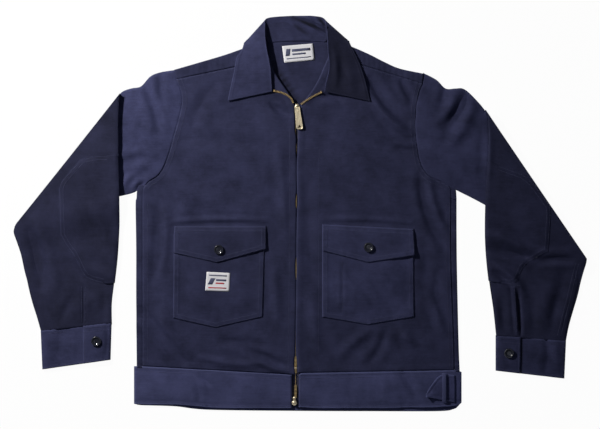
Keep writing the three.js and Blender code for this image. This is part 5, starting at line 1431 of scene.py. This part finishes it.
def slider_piece():
    """The slider's crown, its tail narrower than its shoulders, with rolled sides."""
    v = np.linspace(0, 1, 26)[:, None]
    u = np.linspace(-1, 1, 25)[None, :]
    half = np.interp(v[:, 0], [0, 0.06, 0.7, 0.94, 1], [2.9, 3.5, 4.75, 3.2, 2.4])[:, None]
    x = half * u
    y = lerp(-SLIDER_LONG / 2, SLIDER_LONG / 2, v)
    dome = (1 - np.abs(u) ** 4) * np.sin(math.pi * np.clip(v * 0.94 + 0.03, 0, 1)) ** 0.35
    top = 0.4 + 2.2 * dome - 0.5 * bell(np.abs(x) - 2.4, 0.5) * dome
    lower, upper = turned(grid_of(x, y, 0.0)), turned(grid_of(x, y, top))
    finish_piece(wall("slider_brass", lower, upper, pale_brass), "jacket", "brass", "zip_slider")
    bail = lathe("slider_bail", ball_profile(2.5, 12), turned([0, 4.2, 3.2]), pale_brass, 24)
    finish_piece(bail, "jacket", "brass")


slider_piece()

# The pull tab from its far end to its near end, with half its width at both, and its hole's edge.
PULL_ENDS = (-37, 2)
PULL_HALVES = (6.5, 4.8)
HOLE_LOW = -34.2


def in_pull_hole(x, y):
    """Whether a place lies in the pull tab's rounded triangular hole."""
    return (np.abs(x) / 3.4 + (y - HOLE_LOW) / 5.2 < 0.98) & (y > HOLE_LOW)


def pull_piece(cell=0.5):
    """The pull tab: a tapered plate with a raised rim and ribs, and a rounded hole near its end."""
    v = np.arange(PULL_ENDS[0], PULL_ENDS[1] + cell / 2, cell)[:, None]
    corner = np.where(v < -33, 4 - np.sqrt(np.clip(16 - (v + 33) ** 2, 0, 16)), 0)
    half = np.maximum(np.interp(v, PULL_ENDS, PULL_HALVES) - corner, 1.2)
    u = np.linspace(-1, 1, 29)[None, :]
    x = half * u
    y = v + 0 * x
    rim = bell(half * (1 - np.abs(u)) - 0.9, 0.7)
    rib = sum(bell(x - c * half * 0.45, 0.5) for c in (-1, 0, 1))
    rib = rib * ease((v + 29) / 3) * ease((-2 - v) / 3)
    hole = in_pull_hole(x, y)
    z = np.where(hole, 0.25, lerp(0.7, 1.5 + 0.45 * rim + 0.35 * rib, 1 - np.abs(u) ** 14))
    lift = SLIDER_TALL + SEAM_GAP
    lower = turned(grid_of(x, y, np.where(hole, 0.2, 0)), lift)
    upper = turned(grid_of(x, y, z), lift)
    points = np.concatenate([lower.reshape(-1, 3), upper.reshape(-1, 3)])
    faces = wall_faces(*x.shape, False)
    kept = ~np.tile(hole.reshape(-1), 2)[faces].all(axis=1)
    obj = new_mesh("pull_tab_brass", points, faces[kept], pale_brass)
    finish_piece(obj, "pull_tab", "brass", "zip_pull")


pull_piece()


# Buttons: dished, with a rim and four holes, each a near-black disc of painted shade.
BUTTON_PROFILE = [
    (0.4, 0), (6.6, 0), (7.9, 0.5), (8.6, 1.5), (8.5, 2.6), (7.9, 3.5), (7.0, 3.7), (6.2, 3.2),
    (5.4, 2.3), (4.4, 1.6), (2.8, 1.3), (1.4, 1.4), (0.05, 1.5),
]


def button_piece(name, node, centre, tilt):
    obj = lathe(name, BUTTON_PROFILE, centre, button_mat, 56, tilt)
    finish_piece(obj, "jacket", "button", node)
    for i, (right, up) in enumerate([(-1, -1), (1, -1), (1, 1), (-1, 1)]):
        dx, dy = right * HOLE_OFFSET, up * HOLE_OFFSET
        lift = DISH_HEIGHT + dx * tilt[0] + dy * tilt[1]
        place = (centre[0] + dx, centre[1] + dy, centre[2] + lift)
        hole = lathe(f"{name}_hole_{i}", HOLE_PROFILE, place, hole_shade_mat, 12)
        finish_piece(hole, "jacket", "button")


HOLE_OFFSET = 1.3
DISH_HEIGHT = 1.45
HOLE_PROFILE = [(0.62, -0.3), (0.62, 0.04), (0.05, 0.02)]
FLAP_TILTS = {"left": (0.1, -0.05), "right": (0.06, -0.08)}
CUFF_TILT = (0.03, 0.05)
# Painted shade: a near-black disc stands in for the shade inside each hole.
hole_shade_mat = noisy_material("button_hole_shade", (0.002, 0.002, 0.003), (0.004, 0.004, 0.006), 200, 0.9)
for side in SIDES:
    x, y = FLAP_BUTTONS[side]
    seat = float(flap_height(side)(np.array([float(x)]), np.array([float(y)]))[0]) + 0.4
    button_piece(f"flap_{side}_button", f"flap_button_{side}", (x, y, seat), FLAP_TILTS[side])
    place = (*CUFF_BUTTONS[side], CUFF_TOP + 5.2)
    button_piece(f"cuff_{side}_button", f"cuff_button_{side}", place, CUFF_TILT)


# Stitching: small rounded stitches along lines, lying on a height.
def stitch_shape():
    points = [(-1, 0, 0)]
    for x, r in ((-0.6, 0.9), (0.6, 0.9)):
        points += [(x, r * math.cos(a), r * math.sin(a)) for a in np.linspace(0, 2 * math.pi, 6)[:-1]]
    points.append((1, 0, 0))
    faces = [(0, 1 + (k + 1) % 5, 1 + k) for k in range(5)]
    faces += [(11, 6 + k, 6 + (k + 1) % 5) for k in range(5)]
    for k in range(5):
        a, b, c, d = 1 + k, 1 + (k + 1) % 5, 6 + (k + 1) % 5, 6 + k
        faces += [(a, b, c), (a, c, d)]
    return np.array(points, float), np.array(faces)


STITCH, STITCH_FACES = stitch_shape()


def stitches(name, lines, pitch=2.9, gauge=0.34, step=0.9):
    """Stitches along lines, each given with the height it lies on; they follow its slope."""
    centres, ways = [], []
    for line, height in lines:
        x, y, way = along_line(line, pitch)
        ahead = height(x + way[:, 0] * step, y + way[:, 1] * step)
        behind = height(x - way[:, 0] * step, y - way[:, 1] * step)
        along = np.column_stack([way, (ahead - behind) / (2 * step)])
        ways.append(along / np.linalg.norm(along, axis=1, keepdims=True))
        centres.append(np.column_stack([x, y, height(x, y) + 0.12]))
    centres, ways = np.vstack(centres), np.vstack(ways)
    up = np.tile([0.0, 0, 1], (len(centres), 1))
    points, faces = many(centres, ways, up, (pitch * 0.42, gauge, gauge), STITCH, STITCH_FACES)
    finish_piece(new_mesh(name, points, faces, thread_mat), "jacket", "navy_twill")


# How far the two rows of stitches lie inside an edge.
FIRST_ROW = 2.0
SECOND_ROW = 8.0


def shifted(line, dx):
    return [(x + dx, y) for x, y in line]


def on_height(lines, height):
    return [(line, height) for line in lines]


def pocket_stitches(side):
    edge = outline_of(POCKETS[side], closed=False)
    lines = [inset(edge, FIRST_ROW), inset(edge, SECOND_ROW)]
    if side == "right":
        lines.append([(73, -78), (73, -175)])
    return on_height(lines, partial(pocket_top, side))


def flap_stitches(side):
    edge = outline_of(FLAPS[side], closed=False)
    (left_x, left_y), (right_x, right_y) = FLAPS[side][:2]
    top_rows = [[(left_x + 2, left_y - d), (right_x - 2, right_y - d)] for d in (2.4, 8.6)]
    return on_height([inset(edge, FIRST_ROW), inset(edge, SECOND_ROW), *top_rows], flap_height(side))


def on_line(table, column, start, stop, offset):
    """A line along one end of a front's rows, moved inwards."""
    rows = at_rows(table, np.linspace(start, stop, 60))
    points = rows[:, column:column + 2]
    way = np.gradient(points, axis=0)
    way /= np.hypot(way[:, 0], way[:, 1])[:, None]
    moved = points + np.column_stack([-way[:, 1], way[:, 0]]) * offset
    return [tuple(p) for p in moved]


def front_stitches():
    left_side = [(-274, 18), (-274, -264)]
    right_side = [(261, 18), (261, -81), (266, -221), (267, -270)]
    lines = [
        on_line(FRONT_LEFT, 0, 0, 10, 2.5), on_line(FRONT_LEFT, 0, 0, 10, 8.5),
        on_line(FRONT_RIGHT, 0, 0, 10, -2.5), on_line(FRONT_RIGHT, 0, 0, 10, -8.5),
        left_side, shifted(left_side, 6), right_side, shifted(right_side, -6),
        [(-218, 232), (-176, 241.5), (-132, 250.6), (-97, 257.5), (-66, 264)],
        [(214, 225), (174, 237.5), (118, 254.4), (60, 272)],
        on_line(FRONT_LEFT, 2, 1, 13.9, -3), [(-19, 180), (-19, 60), (-20, -120), (-22, -276)],
        on_line(FRONT_RIGHT, 2, 1, 13.9, 3), [(32.4, 112), (32, -80), (31, -276)], [(1, 113), (32, 115)],
    ]
    return on_height(lines, front_top)


def band_stitches():
    lines = [
        [(-284, -270.5), (-200, -274), (-100, -279), (-17, -284)], [(267, -277), (100, -281), (-3, -283)],
        [(-284, -276), (-200, -280), (-100, -285), (-17, -290)], [(267, -283), (100, -287), (-3, -289)],
        [(-284, -331), (-215, -331.5), (-160, -336.5), (-17, -337.5)],
        [(266, -333), (186, -336), (70, -337), (-3, -335)],
        [(-18, -290), (-18, -335)], [(0, -288), (0, -333)],
    ]
    return on_height(lines, band_top)


def height_over(grid):
    """The height of the nearest point of a grid."""
    top = grid.reshape(-1, 3)

    def height(x, y):
        gaps = (top[None, :, 0] - x[:, None]) ** 2 + (top[None, :, 1] - y[:, None]) ** 2
        return top[gaps.argmin(axis=1), 2]

    return height


def patch_stitches(side):
    edge, top = PATCH_EDGES[side]
    sign = SLEEVES[side][2]
    return on_height([inset(edge, -FIRST_ROW * sign), inset(edge, -7.6 * sign)], height_over(top))


def height_along(line, key):
    """The height of the cloth over a cuff's line, found by its x or its y."""
    def height(x, y):
        return np.interp(y if key else x, line[:, key], line[:, 2]) + DOUBLE_CLOTH / 2

    return height


def cuff_stitches(side):
    free_part = np.linspace(13.2, 16, 30)
    lines = [cuff_surface(side, free_part, np.array([level]))[0] for level in (0.07, 0.17, 0.93)]
    lines += [*cuff_surface(side, np.linspace(1.3, 3, 16), np.array([0.1, 0.93]))]
    lines.append(cuff_surface(side, np.array([15.85]), np.linspace(0.05, 0.95, 14))[:, 0])
    out = []
    for line in lines:
        key = 1 if np.ptp(line[:, 0]) < np.ptp(line[:, 1]) else 0
        line = line[np.argsort(line[:, key])]
        out.append(([tuple(p[:2]) for p in line], height_along(line, key)))
    return out


SLEEVE_STITCHES = {
    "left": [[(-382.5, -128), (-382.5, -190)], [(-376.5, -128), (-376.5, -189)]],
    "right": [
        [(486, -88), (476, -130), (455, -214)], [(480.5, -87), (470, -130), (449, -213)],
        [(373.5, -124), (378.5, -207)], [(366.5, -124), (384, -126)],
    ],
}
BAR_TACKS = {
    "left": [[(-219.5, -31), (-209, -34.5)], [(-219.5, -32.2), (-209, -35.7)]],
    "right": [[(40, -28), (48, -28.5)], [(56, -28.6), (62, -29)]],
}

for side in SIDES:
    stitches(f"pocket_{side}_stitches", pocket_stitches(side))
for side in SIDES:
    stitches(f"flap_{side}_stitches", flap_stitches(side))
stitches("front_stitches", front_stitches())
stitches("band_stitches", band_stitches())
for side in SIDES:
    top = height_over(SLEEVE_TOPS[side])
    stitches(f"sleeve_{side}_stitches", on_height(SLEEVE_STITCHES[side], top))
tacks = [tack for side in SIDES for tack in on_height(BAR_TACKS[side], flap_height(side))]
stitches("bar_tacks", tacks, pitch=1.4, gauge=0.5)
for side in SIDES:
    stitches(f"patch_{side}_stitches", patch_stitches(side))
for side in SIDES:
    stitches(f"cuff_{side}_stitches", cuff_stitches(side))


# Surroundings, in metres.
FLOOR_SIZE = 6
FLOOR_LEVEL = -0.0005


def surroundings():
    """An evenly white floor, just below the jacket."""
    bpy.ops.mesh.primitive_plane_add(size=FLOOR_SIZE, location=(0, 0, FLOOR_LEVEL))
    floor = bpy.context.object
    floor.name = "floor"
    material, shader = new_material("paper_white")
    fill_inputs(material, shader, {
        "Base Color": (0.02, 0.02, 0.02, 1), "Emission Color": (0.965, 0.965, 0.965, 1),
        "Emission Strength": 1.0, "Roughness": 1.0,
    }, ())
    floor.data.materials.append(material)


def area_light(name, place, target, size, power, colour):
    light = bpy.data.lights.new(name, "AREA")
    light.shape = "DISK"
    light.size = size
    light.energy = power
    light.color = colour
    obj = bpy.data.objects.new(name, light)
    obj.location = place
    obj.rotation_euler = (Vector(target) - Vector(place)).to_track_quat("-Z", "Y").to_euler()
    bpy.context.scene.collection.objects.link(obj)


def lighting():
    area_light("key", (-0.98, 0.74, 0.9), (-0.1, 0.0, 0), 0.12, 22, (1, 0.97, 0.93))
    area_light("fill", (0.3, -0.3, 2.2), (0, 0, 0), 1.6, 2.2, (0.85, 0.9, 1))
    world = bpy.context.scene.world or bpy.data.worlds.new("world")
    bpy.context.scene.world = world
    world.use_nodes = True
    background = world.node_tree.nodes["Background"]
    background.inputs["Color"].default_value = (0.8, 0.86, 1, 1)
    background.inputs["Strength"].default_value = 0.06


def camera(height=2.6, jacket_level=0.006, metres_a_pixel=0.00175, pixels=600, sensor=36):
    """Straight above, 1.75 mm to a pixel of the 600 wide photo."""
    lens_camera = bpy.data.cameras.new("camera")
    lens_camera.sensor_width = sensor
    lens_camera.lens = sensor * (height - jacket_level) / (pixels * metres_a_pixel)
    lens_camera.clip_end = 20
    obj = bpy.data.objects.new("camera", lens_camera)
    obj.location = (-0.0004, -0.0015, height)
    bpy.context.scene.collection.objects.link(obj)
    bpy.context.scene.camera = obj
    bpy.context.scene.view_settings.view_transform = "Standard"


surroundings()
lighting()
camera()
